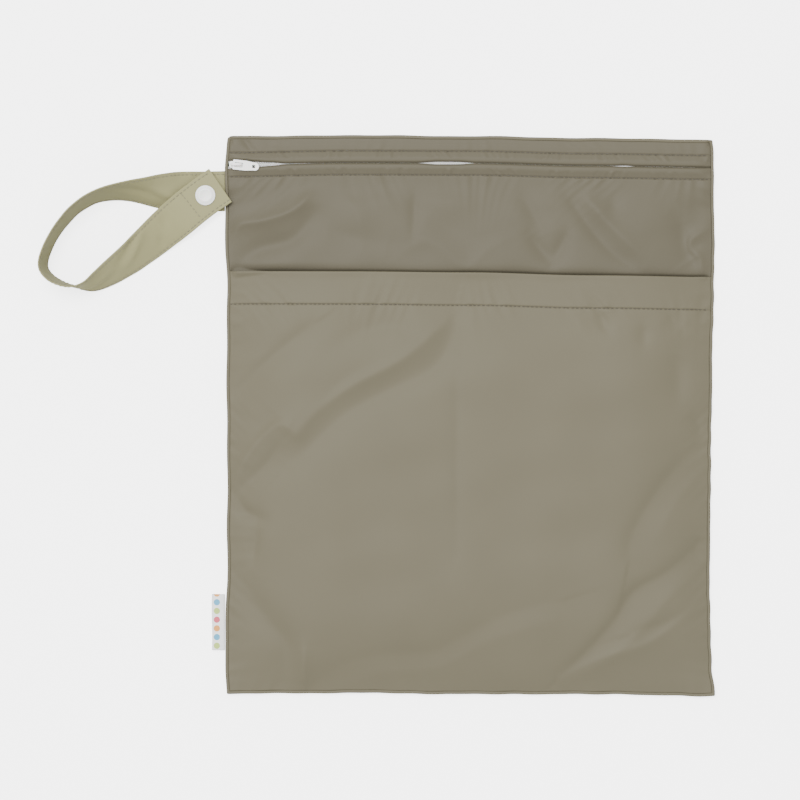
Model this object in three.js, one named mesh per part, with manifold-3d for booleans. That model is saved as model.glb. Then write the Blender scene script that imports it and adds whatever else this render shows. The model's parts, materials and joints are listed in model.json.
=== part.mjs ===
// A cloth diaper wet bag lying flat on its back: a zipped main compartment, an open front pocket
// and a wrist strap that is looped round and snapped back onto itself. Millimetres, +Z up.
// The origin is the middle of the flat underside. +X is the bag's right side, +Y its zipped top.
import * as THREE from "three";
import Module from "manifold-3d";

const wasm = await Module();
wasm.setup();

// Cloth and clearances
const cloth = 1.0; // laminated knit with its seam allowance, one wall
const gap = 0.3; // clearance between pieces that touch
const lipGap = 0.8; // room between a panel's edge and the rolled rim above it

// The bag
const bagWidth = 301;
const bagHeight = 346;
const cornerRadius = 1.5;
const lipWidth = 1.9; // how far the back panel rolls over onto the front
const edgeRound = 0.6; // rounding of the rolled rim
const frontLoft = 4.5; // how far the front lies above the back in the middle
const loftSpread = 70; // distance from a seam over which the front rises
const foldHeight = 2.4; // the deepest fold in the front
const foldFade = 8; // distance above the pocket's edge over which the front's folds set in

// The front pocket
const pocketHeight = 261;
const hemWidth = 20;
const pocketLoft = 4.7; // how far the pocket stands off the front
const pocketSpread = 48;

// The zip under its two flaps
const stripHeight = 17.5; // top edge to slot
const slotWidest = 5.2; // between the flaps beside the slider
const stitchFromSlot = 7.4;
const tapeWidth = 11;
const tapeThickness = 1.0;
const tapeSplit = 0.7; // between the two tapes under the coil
const coilWidth = 4.2;
const coilHeight = 1.5;
const coilEndInset = 11.8; // where the coil stops short of the right side
const flapRise = 9; // distance from a side seam over which the flaps rise over the coil

// The slider and its pull
const sliderLength = 8.9;
const sliderWidth = 6.6; // lower plate, under the tapes
const sliderTopWidth = 4.5; // upper plate, between the flaps
const sliderPlate = 0.7;
const sliderCorner = 1.2;
const sliderInset = 2.5; // from the bag's left edge
const postWidth = 1.4;
const postLength = 3.0;
const bailWidth = 1.5;
const bailThickness = 0.8;
const bailInset = 0.9; // the bail's feet, from the slider's ends
const tabLength = 16.3;
const tabThickness = 1.0;
const tabHeelWidth = 6.2;
const tabToeWidth = 4.9;
const tabBar = 1.1; // the bar that turns under the bail
const tabHeelHole = 5.2;
const tabArmGap = 0.7; // each side of the bail
const tabToeHole = 1.1; // radius
const tabToeHoleInset = 3.0;
const tabClear = 0.35; // between the pull and the flaps under it
const pivotBack = 1.6; // the pull's turning axis, behind the slider's middle
const tabYaw = -6; // degrees, how far the pull lies turned about the upright

// The strap
const strapWidth = 25;
const strapThickness = 1.2;
const strapFromTop = 33.6; // centre of the sewn end below the bag's top
const strapReach = 112; // seam to the far side of the loop
const strapDrop = 59.5; // how far the loop hangs down beside the bag
const strapStations = 56;
const strapBevel = 0.3;

// The snap
const capRadius = 6.2;
const capHeight = 1.8;
const backCapHeight = 1.4;
const snapPostRadius = 4.6;
const snapPostHeight = 3.2;
const snapSides = 28;

// The label in the left seam
const labelLength = 34.7;
const labelReach = 8.0;
const labelLayer = 0.6;
const labelFromBottom = 27.6; // its lower end, up from the bag's bottom edge
const labelLift = 1.1;

// How each long line departs from level across the bag: shares of bagHeight
const lineRows = [
  { across: 0.0, top: 0.0014, slot: 0.0003, pocket: 0.0038, bottom: 0.0014 },
  { across: 0.25, top: 0.0032, slot: 0.0038, pocket: 0.0032, bottom: 0.0029 },
  { across: 0.5, top: 0.0014, slot: 0.0032, pocket: 0.0012, bottom: 0.0006 },
  { across: 0.75, top: -0.0014, slot: -0.0017, pocket: -0.004, bottom: 0.0006 },
  { across: 1.0, top: -0.0049, slot: -0.0046, pocket: -0.0066, bottom: -0.0029 },
];

// How far each side stands out from straight: up is a share of bagHeight, the rest of bagWidth
const sideRows = [
  { up: 0.0, left: 0.001, right: 0.0066 },
  { up: 0.05, left: 0.0025, right: 0.0 },
  { up: 0.12, left: 0.0033, right: -0.003 },
  { up: 0.21, left: -0.001, right: -0.0043 },
  { up: 0.4, left: -0.001, right: -0.002 },
  { up: 0.6, left: 0.001, right: 0.001 },
  { up: 0.72, left: -0.001, right: 0.004 },
  { up: 0.8, left: 0.0033, right: 0.006 },
  { up: 0.93, left: 0.0033, right: 0.004 },
  { up: 1.0, left: 0.0, right: 0.002 },
];

// How wide the slot stands open: shares of slotWidest
const slotRows = [
  { across: 0.0, open: 1.0 },
  { across: 0.04, open: 1.0 },
  { across: 0.055, open: 0.62 },
  { across: 0.09, open: 0.42 },
  { across: 0.125, open: 0.12 },
  { across: 0.37, open: 0.12 },
  { across: 0.42, open: 0.5 },
  { across: 0.48, open: 0.5 },
  { across: 0.53, open: 0.12 },
  { across: 0.82, open: 0.12 },
  { across: 0.87, open: 0.34 },
  { across: 0.92, open: 0.3 },
  { across: 0.95, open: 0.12 },
  { across: 1.0, open: 0.12 },
];

// Folds in the pocket. across and up: shares of bagWidth and bagHeight from the lower left corner.
// wide: share of bagWidth. high: share of foldHeight, a valley below nought.
const pocketFolds = [
  { across: 0.47, up: 0.68, toAcross: 0.44, toUp: 0.6, wide: 0.028, high: -0.8 },
  { across: 0.44, up: 0.6, toAcross: 0.33, toUp: 0.546, wide: 0.03, high: -0.8 },
  { across: 0.33, up: 0.546, toAcross: 0.125, toUp: 0.415, wide: 0.03, high: -0.7 },
  { across: 0.36, up: 0.59, toAcross: 0.15, toUp: 0.47, wide: 0.03, high: 0.6 },
  { across: 0.14, up: 0.475, toAcross: 0.03, toUp: 0.38, wide: 0.026, high: 0.5 },
  { across: 0.04, up: 0.195, toAcross: 0.13, toUp: 0.05, wide: 0.028, high: -0.7 },
  { across: 0.16, up: 0.08, toAcross: 0.16, toUp: 0.02, wide: 0.026, high: 0.6 },
  { across: 0.19, up: 0.025, toAcross: 0.44, toUp: 0.08, wide: 0.03, high: -0.6 },
  { across: 0.44, up: 0.08, toAcross: 0.66, toUp: 0.165, wide: 0.03, high: -0.6 },
  { across: 0.3, up: 0.03, toAcross: 0.66, toUp: 0.125, wide: 0.028, high: 0.5 },
  { across: 0.98, up: 0.27, toAcross: 0.84, toUp: 0.185, wide: 0.03, high: -0.8 },
  { across: 0.84, up: 0.185, toAcross: 0.7, toUp: 0.04, wide: 0.03, high: -0.8 },
  { across: 0.97, up: 0.215, toAcross: 0.72, toUp: 0.02, wide: 0.028, high: 0.7 },
  { across: 0.93, up: 0.6, toAcross: 0.93, toUp: 0.53, wide: 0.03, high: -0.6 },
  { across: 0.97, up: 0.44, toAcross: 0.83, toUp: 0.25, wide: 0.03, high: -0.6 },
  { across: 0.17, up: 0.66, toAcross: 0.03, toUp: 0.54, wide: 0.028, high: -0.5 },
  { across: 0.23, up: 0.49, toAcross: 0.34, toUp: 0.65, wide: 0.028, high: -0.35 },
];

// Folds in the part of the front that shows above the pocket, in the same columns
const frontFolds = [
  { across: 0.18, up: 0.908, toAcross: 0.13, toUp: 0.862, wide: 0.026, high: 0.7 },
  { across: 0.13, up: 0.862, toAcross: 0.03, toUp: 0.838, wide: 0.026, high: 0.6 },
  { across: 0.18, up: 0.86, toAcross: 0.04, toUp: 0.785, wide: 0.026, high: -0.6 },
  { across: 0.42, up: 0.86, toAcross: 0.56, toUp: 0.815, wide: 0.026, high: -0.5 },
  { across: 0.36, up: 0.788, toAcross: 0.6, toUp: 0.82, wide: 0.024, high: 0.5 },
  { across: 0.69, up: 0.915, toAcross: 0.76, toUp: 0.825, wide: 0.026, high: -0.8 },
  { across: 0.76, up: 0.825, toAcross: 0.86, toUp: 0.765, wide: 0.026, high: -0.8 },
  { across: 0.75, up: 0.9, toAcross: 0.88, toUp: 0.79, wide: 0.026, high: 0.5 },
  { across: 0.93, up: 0.85, toAcross: 0.96, toUp: 0.785, wide: 0.026, high: -0.6 },
];

// The strap from its seam round to its snapped end. across and down: shares of strapReach and
// strapDrop from the seam. turn: degrees about its own line. rest: the height of its lowest edge,
// as a share of the snap's whole stack.
const strapRows = [
  { across: 0, down: 0, turn: 0, rest: 0.254 },
  { across: 0.095, down: 0.004, turn: 0, rest: 0.254 },
  { across: 0.18, down: 0.006, turn: 0, rest: 0.254 },
  { across: 0.281, down: 0.008, turn: 17, rest: 0.2 },
  { across: 0.402, down: 0.011, turn: 47, rest: 0.03 },
  { across: 0.526, down: 0.009, turn: 65, rest: 0 },
  { across: 0.633, down: 0.03, turn: 73, rest: 0 },
  { across: 0.726, down: 0.083, turn: 78, rest: 0 },
  { across: 0.819, down: 0.194, turn: 81, rest: 0 },
  { across: 0.892, down: 0.343, turn: 82, rest: 0 },
  { across: 0.943, down: 0.481, turn: 83, rest: 0 },
  { across: 0.978, down: 0.615, turn: 83, rest: 0 },
  { across: 0.998, down: 0.741, turn: 83, rest: 0 },
  { across: 0.992, down: 0.83, turn: 82, rest: 0 },
  { across: 0.953, down: 0.914, turn: 82, rest: 0 },
  { across: 0.895, down: 0.971, turn: 83, rest: 0 },
  { across: 0.835, down: 0.998, turn: 87, rest: 0 },
  { across: 0.785, down: 1.004, turn: 95, rest: 0 },
  { across: 0.732, down: 0.981, turn: 107, rest: 0 },
  { across: 0.669, down: 0.911, turn: 119, rest: 0 },
  { across: 0.595, down: 0.813, turn: 127, rest: 0 },
  { across: 0.515, down: 0.7, turn: 134, rest: 0.01 },
  { across: 0.418, down: 0.543, turn: 145, rest: 0.06 },
  { across: 0.324, down: 0.389, turn: 160, rest: 0.44 },
  { across: 0.254, down: 0.277, turn: 170, rest: 0.84 },
  { across: 0.183, down: 0.164, turn: 180, rest: 1 },
  { across: 0.104, down: 0.05, turn: 180, rest: 1 },
  { across: 0.023, down: -0.055, turn: 180, rest: 1 },
];
const snapRow = strapRows[strapRows.length - 2];

// Heights of the layers, each from the one below it
const backTop = cloth;
const sliderFoot = backTop + gap;
const tapeBottom = sliderFoot + sliderPlate + gap;
const tapeTop = tapeBottom + tapeThickness;
const coilBottom = tapeTop + gap;
const coilTop = coilBottom + coilHeight;
const flapBottom = coilTop + gap;
const sliderCrown = flapBottom + sliderPlate;
const tabUnder = flapBottom + cloth + tabClear;
const pivotHeight = tabUnder + tabThickness / 2;
const lowerStrapUnder = backCapHeight + gap;
const upperStrapUnder = lowerStrapUnder + strapThickness + gap + snapPostHeight + gap;

const mix = THREE.MathUtils.lerp;
const smooth = THREE.MathUtils.smoothstep;
const radians = THREE.MathUtils.degToRad;

// A smooth reading of one column of a table, by cubic steps that never overshoot a row
function readTable(rows, key, column, at) {
  const last = rows.length - 1;
  let i = 0;
  while (i < last - 1 && at > rows[i + 1][key]) i += 1;
  const from = rows[i];
  const to = rows[i + 1];
  const share = THREE.MathUtils.clamp((at - from[key]) / (to[key] - from[key]), 0, 1);
  return mix(from[column], to[column], share * share * (3 - 2 * share));
}

// Rises from 0 at a seam to 1 at a distance of spread
function rise(distance, spread) {
  const short = 1 - Math.min(1, Math.max(0, distance) / spread);
  return 1 - short * short;
}

// The bag's outline and its long lines
const leftEdge = (y) => -bagWidth * (0.5 + readTable(sideRows, "up", "left", y / bagHeight + 0.5));
const rightEdge = (y) => bagWidth * (0.5 + readTable(sideRows, "up", "right", y / bagHeight + 0.5));
const lineAt = (column, u) => bagHeight * readTable(lineRows, "across", column, u);
const topEdge = (u) => bagHeight / 2 + lineAt("top", u);
const bottomEdge = (u) => -bagHeight / 2 + lineAt("bottom", u);
const slotLine = (u) => bagHeight / 2 - stripHeight + lineAt("slot", u);
const pocketEdge = (u) => -bagHeight / 2 + pocketHeight + lineAt("pocket", u);
const slotOpen = (u) => slotWidest * readTable(slotRows, "across", "open", u);
const acrossAt = (x) => x / bagWidth + 0.5;

// Sum of a table's folds at a point: each is a bell-shaped ridge or valley along a line,
// fading out at both its ends
function foldsAt(table, x, y) {
  let height = 0;
  for (const fold of table) {
    const x0 = (fold.across - 0.5) * bagWidth;
    const y0 = (fold.up - 0.5) * bagHeight;
    const dx = (fold.toAcross - fold.across) * bagWidth;
    const dy = (fold.toUp - fold.up) * bagHeight;
    const along = ((x - x0) * dx + (y - y0) * dy) / (dx * dx + dy * dy);
    const near = THREE.MathUtils.clamp(along, 0, 1);
    const away = Math.hypot(x - x0 - near * dx, y - y0 - near * dy) / (fold.wide * bagWidth);
    height += fold.high * foldHeight * Math.exp(-away * away);
  }
  return height;
}

// How far a point lies inside the four edges
function insets(x, y) {
  const u = acrossAt(x);
  return {
    left: x - leftEdge(y),
    right: rightEdge(y) - x,
    bottom: y - bottomEdge(u),
    top: topEdge(u) - y,
  };
}

// Underside of the front panel and of the strip above the zip
function frontUnder(x, y) {
  const u = acrossAt(x);
  const inset = insets(x, y);
  const full = rise(inset.left, loftSpread) * rise(inset.right, loftSpread);
  const lofted = full * rise(inset.bottom, loftSpread) * rise(inset.top, loftSpread);
  const seamed = backTop + gap + frontLoft * lofted;

  const fromSlot = Math.abs(y - slotLine(u));
  const sideInset = Math.min(inset.left, inset.right);
  const flap = mix(tapeTop + gap, flapBottom, rise(sideInset - cloth - gap, flapRise));
  const overCoil = coilWidth / 2 + 2 * gap;
  const toStitch = THREE.MathUtils.clamp((fromSlot - overCoil) / (stitchFromSlot - overCoil), 0, 1);
  const zipLevel = mix(flap, tapeTop + gap, toStitch);
  const tapeEnd = tapeWidth + gap;
  const above = y > slotLine(u);
  const fadeEnd = above ? topEdge(u) - slotLine(u) - cloth - gap : tapeEnd + stitchFromSlot * 2;
  const onZip = 1 - smooth(fromSlot, tapeEnd, fadeEnd);
  const base = mix(seamed, zipLevel, onZip);
  if (above) return base;

  const shown = smooth(y, pocketEdge(u), pocketEdge(u) + foldFade) * (1 - onZip);
  const relief = foldsAt(frontFolds, x, y) * shown * rise(sideInset - cloth - gap, hemWidth);
  return Math.max(base + relief, backTop + gap);
}

// Underside of the pocket, which stands off the front and is open along its hem
function pocketUnder(x, y) {
  const inset = insets(x, y);
  const sides = rise(inset.left - cloth - gap, pocketSpread) * rise(inset.right - cloth - gap, pocketSpread);
  const up = rise(inset.bottom - cloth - gap, pocketSpread);
  const seat = frontUnder(x, y) + cloth + gap;
  const edge = Math.min(inset.left, inset.right, inset.bottom) - cloth - gap;
  const relief = foldsAt(pocketFolds, x, y) * rise(edge, hemWidth);
  return Math.max(seat + pocketLoft * sides * up + relief, seat);
}

// The hem is turned in, so the pocket is two walls thick there
const inHem = (u, y) => y > pocketEdge(u) - hemWidth - gap;
const pocketWall = (u, y) => (inHem(u, y) ? 2 * cloth : cloth);

// A closed geometry from a list of corner points and a list of triangles
function closedGeometry(points, triangles) {
  const geometry = new THREE.BufferGeometry();
  geometry.setAttribute("position", new THREE.Float32BufferAttribute(points.flat(), 3));
  geometry.setIndex(triangles.flat());
  geometry.computeVertexNormals();
  return geometry;
}

// A cloth panel: a grid of rows and columns with a top, an underside and its cut edges.
// Each row is a function that gives y at a share u across the bag.
function panel(rows, columns, under, wall) {
  const inset = cloth + gap;
  const lower = [];
  const upper = [];
  for (const row of rows) {
    for (const u of columns) {
      const y = row(u);
      const x = mix(leftEdge(y) + inset, rightEdge(y) - inset, u);
      const z = under(x, y);
      lower.push([x, y, z]);
      upper.push([x, y, z + wall(u, y)]);
    }
  }
  const wide = columns.length;
  const count = lower.length;
  const triangles = [];
  for (let r = 0; r < rows.length - 1; r += 1) {
    for (let c = 0; c < wide - 1; c += 1) {
      const a = r * wide + c;
      const b = a + 1;
      const d = a + wide;
      const e = d + 1;
      triangles.push([count + a, count + b, count + e], [count + a, count + e, count + d]);
      triangles.push([a, e, b], [a, d, e]);
    }
  }
  const rim = [];
  for (let c = 0; c < wide - 1; c += 1) rim.push(c);
  for (let r = 0; r < rows.length - 1; r += 1) rim.push(r * wide + wide - 1);
  for (let c = wide - 1; c > 0; c -= 1) rim.push((rows.length - 1) * wide + c);
  for (let r = rows.length - 1; r > 0; r -= 1) rim.push(r * wide);
  rim.forEach((p, i) => {
    const q = rim[(i + 1) % rim.length];
    triangles.push([p, q, count + q], [p, count + q, count + p]);
  });
  return closedGeometry([...lower, ...upper], triangles);
}

// A closed skin over a list of loops, each with as many points as the next, and a fan at each end
function loopSkin(loops) {
  const size = loops[0].length;
  const points = loops.flat();
  const triangles = [];
  const fan = (loop) => {
    const middle = new THREE.Vector3();
    loop.forEach((p) => middle.add(new THREE.Vector3(...p)));
    points.push(middle.divideScalar(size).toArray());
    return points.length - 1;
  };
  const first = fan(loops[0]);
  const last = fan(loops[loops.length - 1]);
  for (let i = 0; i < size; i += 1) {
    const j = (i + 1) % size;
    for (let k = 0; k < loops.length - 1; k += 1) {
      const a = k * size;
      const b = a + size;
      triangles.push([b + i, b + j, a + j], [b + i, a + j, a + i]);
    }
    const end = (loops.length - 1) * size;
    triangles.push([first, i, j], [last, end + j, end + i]);
  }
  return closedGeometry(points, triangles);
}

// Rows and columns shared by the panels, so that stacked panels bend along the same lines
const columns = [0, 0.012, 0.034, 0.055, 0.09, 0.13];
const columnSteps = 19;
for (let i = 0; i <= columnSteps; i += 1) columns.push(mix(0.17, 0.93, i / columnSteps));
columns.push(0.968, 1);

const between = (low, high, share) => (u) => mix(low(u), high(u), share);
const pocketFloor = (u) => bottomEdge(u) + cloth + gap;
const hemLine = (u) => pocketEdge(u) - hemWidth;
const hemStep = (u) => pocketEdge(u) - hemWidth - 2 * gap;
const fromSlot = (distance) => (u) => slotLine(u) + distance;
const lowerFlap = (u) => slotLine(u) - slotOpen(u) / 2;
const upperFlap = (u) => slotLine(u) + slotOpen(u) / 2;
const stripTop = (u) => topEdge(u) - cloth - gap;

const pocketRowSteps = 16;
const pocketRows = [];
for (let i = 0; i < pocketRowSteps; i += 1) {
  pocketRows.push(between(pocketFloor, hemStep, i / pocketRowSteps));
}
pocketRows.push(hemStep, hemLine, between(hemLine, pocketEdge, 0.5), pocketEdge);

const overCoilRow = coilWidth / 2 + 2 * gap;
const tapeEndRow = tapeWidth + gap;
const frontRows = pocketRows.filter((row, i) => (i < 4 || i % 2 === 0) && i < pocketRowSteps);
frontRows.push(hemStep, between(hemLine, pocketEdge, 0.5), pocketEdge);
const upperRowSteps = 7;
for (let i = 1; i <= upperRowSteps; i += 1) {
  frontRows.push(between(pocketEdge, fromSlot(-tapeEndRow), i / upperRowSteps));
}
frontRows.push(fromSlot(-stitchFromSlot), fromSlot(-overCoilRow), lowerFlap);
const stripRows = [upperFlap, fromSlot(overCoilRow), fromSlot(stitchFromSlot)];
stripRows.push(fromSlot(tapeEndRow), stripTop);

// The lip's underside lies just above whatever panel edge it rolls over
function lipUnder(x, y) {
  const u = acrossAt(x);
  const onPocket = y < pocketEdge(u) + lipWidth;
  const under = onPocket ? pocketUnder(x, y) : frontUnder(x, y);
  const wall = onPocket ? pocketWall(u, y) : cloth;
  return under + wall + lipGap;
}

// The bag's outline drawn in by a distance, as points that run round from the lower left corner
function outlineAt(inset) {
  const points = [];
  const round = Math.max(cornerRadius - inset, 0.25);
  const hold = inset + round;
  const corner = (u, y0, signX, signY, start) => {
    for (let i = 0; i <= 2; i += 1) {
      const angle = radians(start + i * 45);
      const y = y0 - signY * hold;
      const side = signX < 0 ? leftEdge(y0) : rightEdge(y0);
      points.push([side - signX * hold + round * Math.cos(angle), y + round * Math.sin(angle)]);
    }
  };
  const inner = columns.slice(1, -1);
  const frontLevels = frontRows.slice(-upperRowSteps - 3, -1);
  const sideLevels = [...pocketRows.slice(1), ...frontLevels, ...stripRows.slice(1, -1)];
  const alongX = (u) => mix(leftEdge(0) + hold, rightEdge(0) - hold, u);
  corner(0, bottomEdge(0), -1, -1, 180);
  inner.forEach((u) => points.push([alongX(u), bottomEdge(u) + inset]));
  corner(1, bottomEdge(1), 1, -1, 270);
  sideLevels.forEach((row) => points.push([rightEdge(row(1)) - inset, row(1)]));
  corner(1, topEdge(1), 1, 1, 0);
  [...inner].reverse().forEach((u) => points.push([alongX(u), topEdge(u) - inset]));
  corner(0, topEdge(0), -1, 1, 90);
  [...sideLevels].reverse().forEach((row) => points.push([leftEdge(row(0)) + inset, row(0)]));
  return points;
}

// The back panel: flat on its underside, its edges rolled up and over the front panels' edges
function backPanel() {
  const edgeLine = outlineAt(cloth + gap);
  const lip = edgeLine.map(([x, y]) => lipUnder(x, y));
  const loop = (inset, height) => outlineAt(inset).map(([x, y], i) => [x, y, height(i)]);
  return loopSkin([
    loop(cloth, () => backTop),
    loop(cloth, (i) => lip[i]),
    loop(lipWidth, (i) => lip[i]),
    loop(lipWidth, (i) => lip[i] + cloth),
    loop(edgeRound, (i) => lip[i] + cloth),
    loop(0, (i) => lip[i] + cloth - edgeRound),
    loop(0, () => edgeRound),
    loop(edgeRound, () => 0),
  ]);
}

// The zip's two tapes, closest under the coil and wider apart where the slider's post passes
const sliderLeft = leftEdge(slotLine(0)) + sliderInset;
const sliderMiddle = sliderLeft + sliderLength / 2;
const sliderAcross = acrossAt(sliderMiddle);
const slotAtSlider = slotLine(sliderAcross);
function tape(sign) {
  const past = sliderLeft + sliderLength + gap;
  const split = (u) => {
    const x = (u - 0.5) * bagWidth;
    const wide = 1 - smooth(x, past, past + sliderLength);
    return mix(tapeSplit, postWidth + 2 * gap, wide) / 2;
  };
  const inner = (u) => slotLine(u) + sign * split(u);
  const outer = (u) => slotLine(u) + sign * tapeWidth;
  const rows = sign > 0 ? [inner, outer] : [outer, inner];
  return panel(rows, columns, () => tapeBottom, () => tapeThickness);
}

// The closed chain of the zip, one plain ribbon with a rounded back along the slot
function zipCoil() {
  const start = sliderMiddle + postLength / 2 + gap;
  const end = rightEdge(slotLine(1)) - coilEndInset;
  const steps = 18;
  const half = coilWidth / 2;
  const round = coilHeight / 3;
  const section = [
    [-half, coilBottom],
    [half, coilBottom],
    [half, coilTop - round],
    [half - 2 * round, coilTop],
    [2 * round - half, coilTop],
    [-half, coilTop - round],
  ];
  const loops = [];
  for (let i = steps; i >= 0; i -= 1) {
    const x = mix(start, end, i / steps);
    loops.push(section.map(([side, z]) => [x, slotLine(acrossAt(x)) + side, z]));
  }
  return loopSkin(loops);
}

// Solids for cutting and joining
function toSolid(geometry) {
  const source = geometry.index ? geometry.toNonIndexed() : geometry;
  const position = source.getAttribute("position");
  const seen = new Map();
  const points = [];
  const corners = [];
  for (let i = 0; i < position.count; i += 1) {
    const p = [position.getX(i), position.getY(i), position.getZ(i)];
    const key = p.map((n) => n.toFixed(4)).join(" ");
    if (!seen.has(key)) {
      seen.set(key, points.length / 3);
      points.push(...p);
    }
    corners.push(seen.get(key));
  }
  const mesh = new wasm.Mesh({
    numProp: 3,
    vertProperties: new Float32Array(points),
    triVerts: new Uint32Array(corners),
  });
  return new wasm.Manifold(mesh);
}

function toGeometry(solid) {
  const mesh = solid.getMesh();
  const geometry = new THREE.BufferGeometry();
  geometry.setAttribute("position", new THREE.BufferAttribute(mesh.vertProperties, 3));
  geometry.setIndex(new THREE.BufferAttribute(mesh.triVerts, 1));
  geometry.computeVertexNormals();
  return geometry;
}

// A plate with rounded corners, centred on x and y, its underside at z
function plate(length, width, thickness, corner, z) {
  const x = length / 2;
  const y = width / 2;
  const shape = new THREE.Shape();
  shape.moveTo(corner - x, -y);
  shape.lineTo(x - corner, -y);
  shape.absarc(x - corner, corner - y, corner, -Math.PI / 2, 0);
  shape.absarc(x - corner, y - corner, corner, 0, Math.PI / 2);
  shape.absarc(corner - x, y - corner, corner, Math.PI / 2, Math.PI);
  shape.absarc(corner - x, corner - y, corner, Math.PI, Math.PI * 1.5);
  const settings = { depth: thickness, bevelEnabled: false, curveSegments: 3 };
  return new THREE.ExtrudeGeometry(shape, settings).translate(0, 0, z);
}

// The slider: a plate under the tapes, a post between them, a plate over the coil and the bail
// that holds the pull
const bailUnder = pivotHeight + Math.hypot(tabBar, tabThickness) / 2 + gap;
const bailTop = bailUnder + bailThickness;
function slider() {
  const lower = plate(sliderLength, sliderWidth, sliderPlate, sliderCorner, sliderFoot);
  const upper = plate(sliderLength, sliderTopWidth, sliderPlate, sliderCorner, flapBottom);
  const post = new THREE.BoxGeometry(postLength, postWidth, sliderCrown - sliderFoot - sliderPlate);
  post.translate(0, 0, (sliderCrown + sliderFoot) / 2);
  const foot = sliderLength / 2 - bailInset;
  const low = flapBottom + sliderPlate / 2;
  const arch = new THREE.Shape();
  arch.moveTo(-foot, low);
  arch.lineTo(bailThickness - foot, low);
  arch.lineTo(bailThickness - foot, bailUnder);
  arch.lineTo(foot - bailThickness, bailUnder);
  arch.lineTo(foot - bailThickness, low);
  arch.lineTo(foot, low);
  arch.lineTo(foot, bailTop - bailThickness);
  arch.lineTo(foot - bailThickness, bailTop);
  arch.lineTo(bailThickness - foot, bailTop);
  arch.lineTo(-foot, bailTop - bailThickness);
  const bail = new THREE.ExtrudeGeometry(arch, { depth: bailWidth, bevelEnabled: false });
  bail.translate(0, 0, -bailWidth / 2).rotateX(Math.PI / 2);
  const body = toSolid(lower).add(toSolid(post)).add(toSolid(upper)).add(toSolid(bail));
  return toGeometry(body);
}

// The pull: its heel bar lies under the bail, its arms pass either side, its toe is round
function pullTab() {
  const heel = tabHeelWidth / 2;
  const toe = tabToeWidth / 2;
  const start = -tabBar / 2;
  const end = start + tabLength;
  const shape = new THREE.Shape();
  shape.moveTo(start, -heel + tabBar / 2);
  shape.lineTo(start + tabBar / 2, -heel);
  shape.lineTo(start + tabHeelHole + 2 * tabBar, -heel);
  shape.lineTo(end - toe, -toe);
  shape.absarc(end - toe, 0, toe, -Math.PI / 2, Math.PI / 2);
  shape.lineTo(start + tabHeelHole + 2 * tabBar, heel);
  shape.lineTo(start + tabBar / 2, heel);
  shape.lineTo(start, heel - tabBar / 2);
  const inner = bailWidth / 2 + tabArmGap;
  const window = new THREE.Path();
  window.moveTo(start + tabBar, -inner);
  window.lineTo(start + tabBar, inner);
  window.lineTo(start + tabBar + tabHeelHole, inner);
  window.lineTo(start + tabBar + tabHeelHole, -inner);
  window.closePath();
  const eye = new THREE.Path();
  eye.absarc(end - tabToeHoleInset, 0, tabToeHole, 0, Math.PI * 2, true);
  shape.holes.push(window, eye);
  const settings = { depth: tabThickness, bevelEnabled: false, curveSegments: 8 };
  return new THREE.ExtrudeGeometry(shape, settings).translate(0, 0, -tabThickness / 2);
}

// The strap: a flat band carried along its route, turned about its own line row by row
const strapY = bagHeight / 2 - strapFromTop;
const strapStart = leftEdge(strapY) - gap;
function strapPoint(row) {
  return new THREE.Vector3(strapStart - row.across * strapReach, strapY - row.down * strapDrop, 0);
}
function strap() {
  const route = new THREE.CatmullRomCurve3(strapRows.map(strapPoint));
  const table = strapRows.map((row, index) => ({ ...row, index }));
  const halfWidth = strapWidth / 2;
  const halfThick = strapThickness / 2;
  const bevel = strapBevel;
  const section = [
    [bevel - halfWidth, -halfThick],
    [-halfWidth, bevel - halfThick],
    [-halfWidth, halfThick - bevel],
    [bevel - halfWidth, halfThick],
    [halfWidth - bevel, halfThick],
    [halfWidth, halfThick - bevel],
    [halfWidth, bevel - halfThick],
    [halfWidth - bevel, -halfThick],
  ];
  const loops = [];
  for (let i = 0; i <= strapStations; i += 1) {
    const t = i / strapStations;
    const at = t * (table.length - 1);
    const turn = radians(readTable(table, "index", "turn", at));
    const rest = upperStrapUnder * readTable(table, "index", "rest", at);
    const ahead = i === 0 ? new THREE.Vector3(-1, 0, 0) : route.getTangent(t).setZ(0).normalize();
    const left = new THREE.Vector3(-ahead.y, ahead.x, 0);
    const up = new THREE.Vector3(0, 0, 1);
    const across = left.clone().multiplyScalar(Math.cos(turn)).addScaledVector(up, -Math.sin(turn));
    const face = up.clone().multiplyScalar(Math.cos(turn)).addScaledVector(left, Math.sin(turn));
    const lowest = halfWidth * Math.abs(Math.sin(turn)) + halfThick * Math.abs(Math.cos(turn));
    const middle = route.getPoint(t).setZ(rest + lowest);
    loops.push(section.map(([side, depth]) => {
      const point = middle.clone().addScaledVector(across, side).addScaledVector(face, depth);
      return point.toArray();
    }));
  }
  return loopSkin(loops);
}

// Round snap pieces, turned about the upright through the snap, each from a profile of radius and
// height: a low crown, a waisted post where the two halves meet, and a rounded back
const snapPoint = strapPoint(snapRow);
function turned(profile) {
  const points = profile.map(([radius, height]) => new THREE.Vector2(radius, height));
  return new THREE.LatheGeometry(points, snapSides).rotateX(Math.PI / 2);
}
function snapCap() {
  const r = capRadius;
  const h = capHeight;
  return turned([[0, 0], [r - 0.4, 0], [r, 0.45 * h], [0.86 * r, 0.82 * h], [0.5 * r, h], [0, h]]);
}
function snapPost() {
  const r = snapPostRadius;
  const h = snapPostHeight;
  const waist = 0.6 * r;
  const low = 0.45 * h;
  const high = 0.6 * h;
  return turned([[0, 0], [r, 0], [r, low], [waist, low], [waist, high], [r, high], [r, h], [0, h]]);
}
function snapBackCap() {
  const r = capRadius;
  const h = backCapHeight;
  return turned([[0, 0], [0.8 * r, 0], [r, 0.5 * h], [r - 0.3, h], [0, h]]);
}

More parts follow.
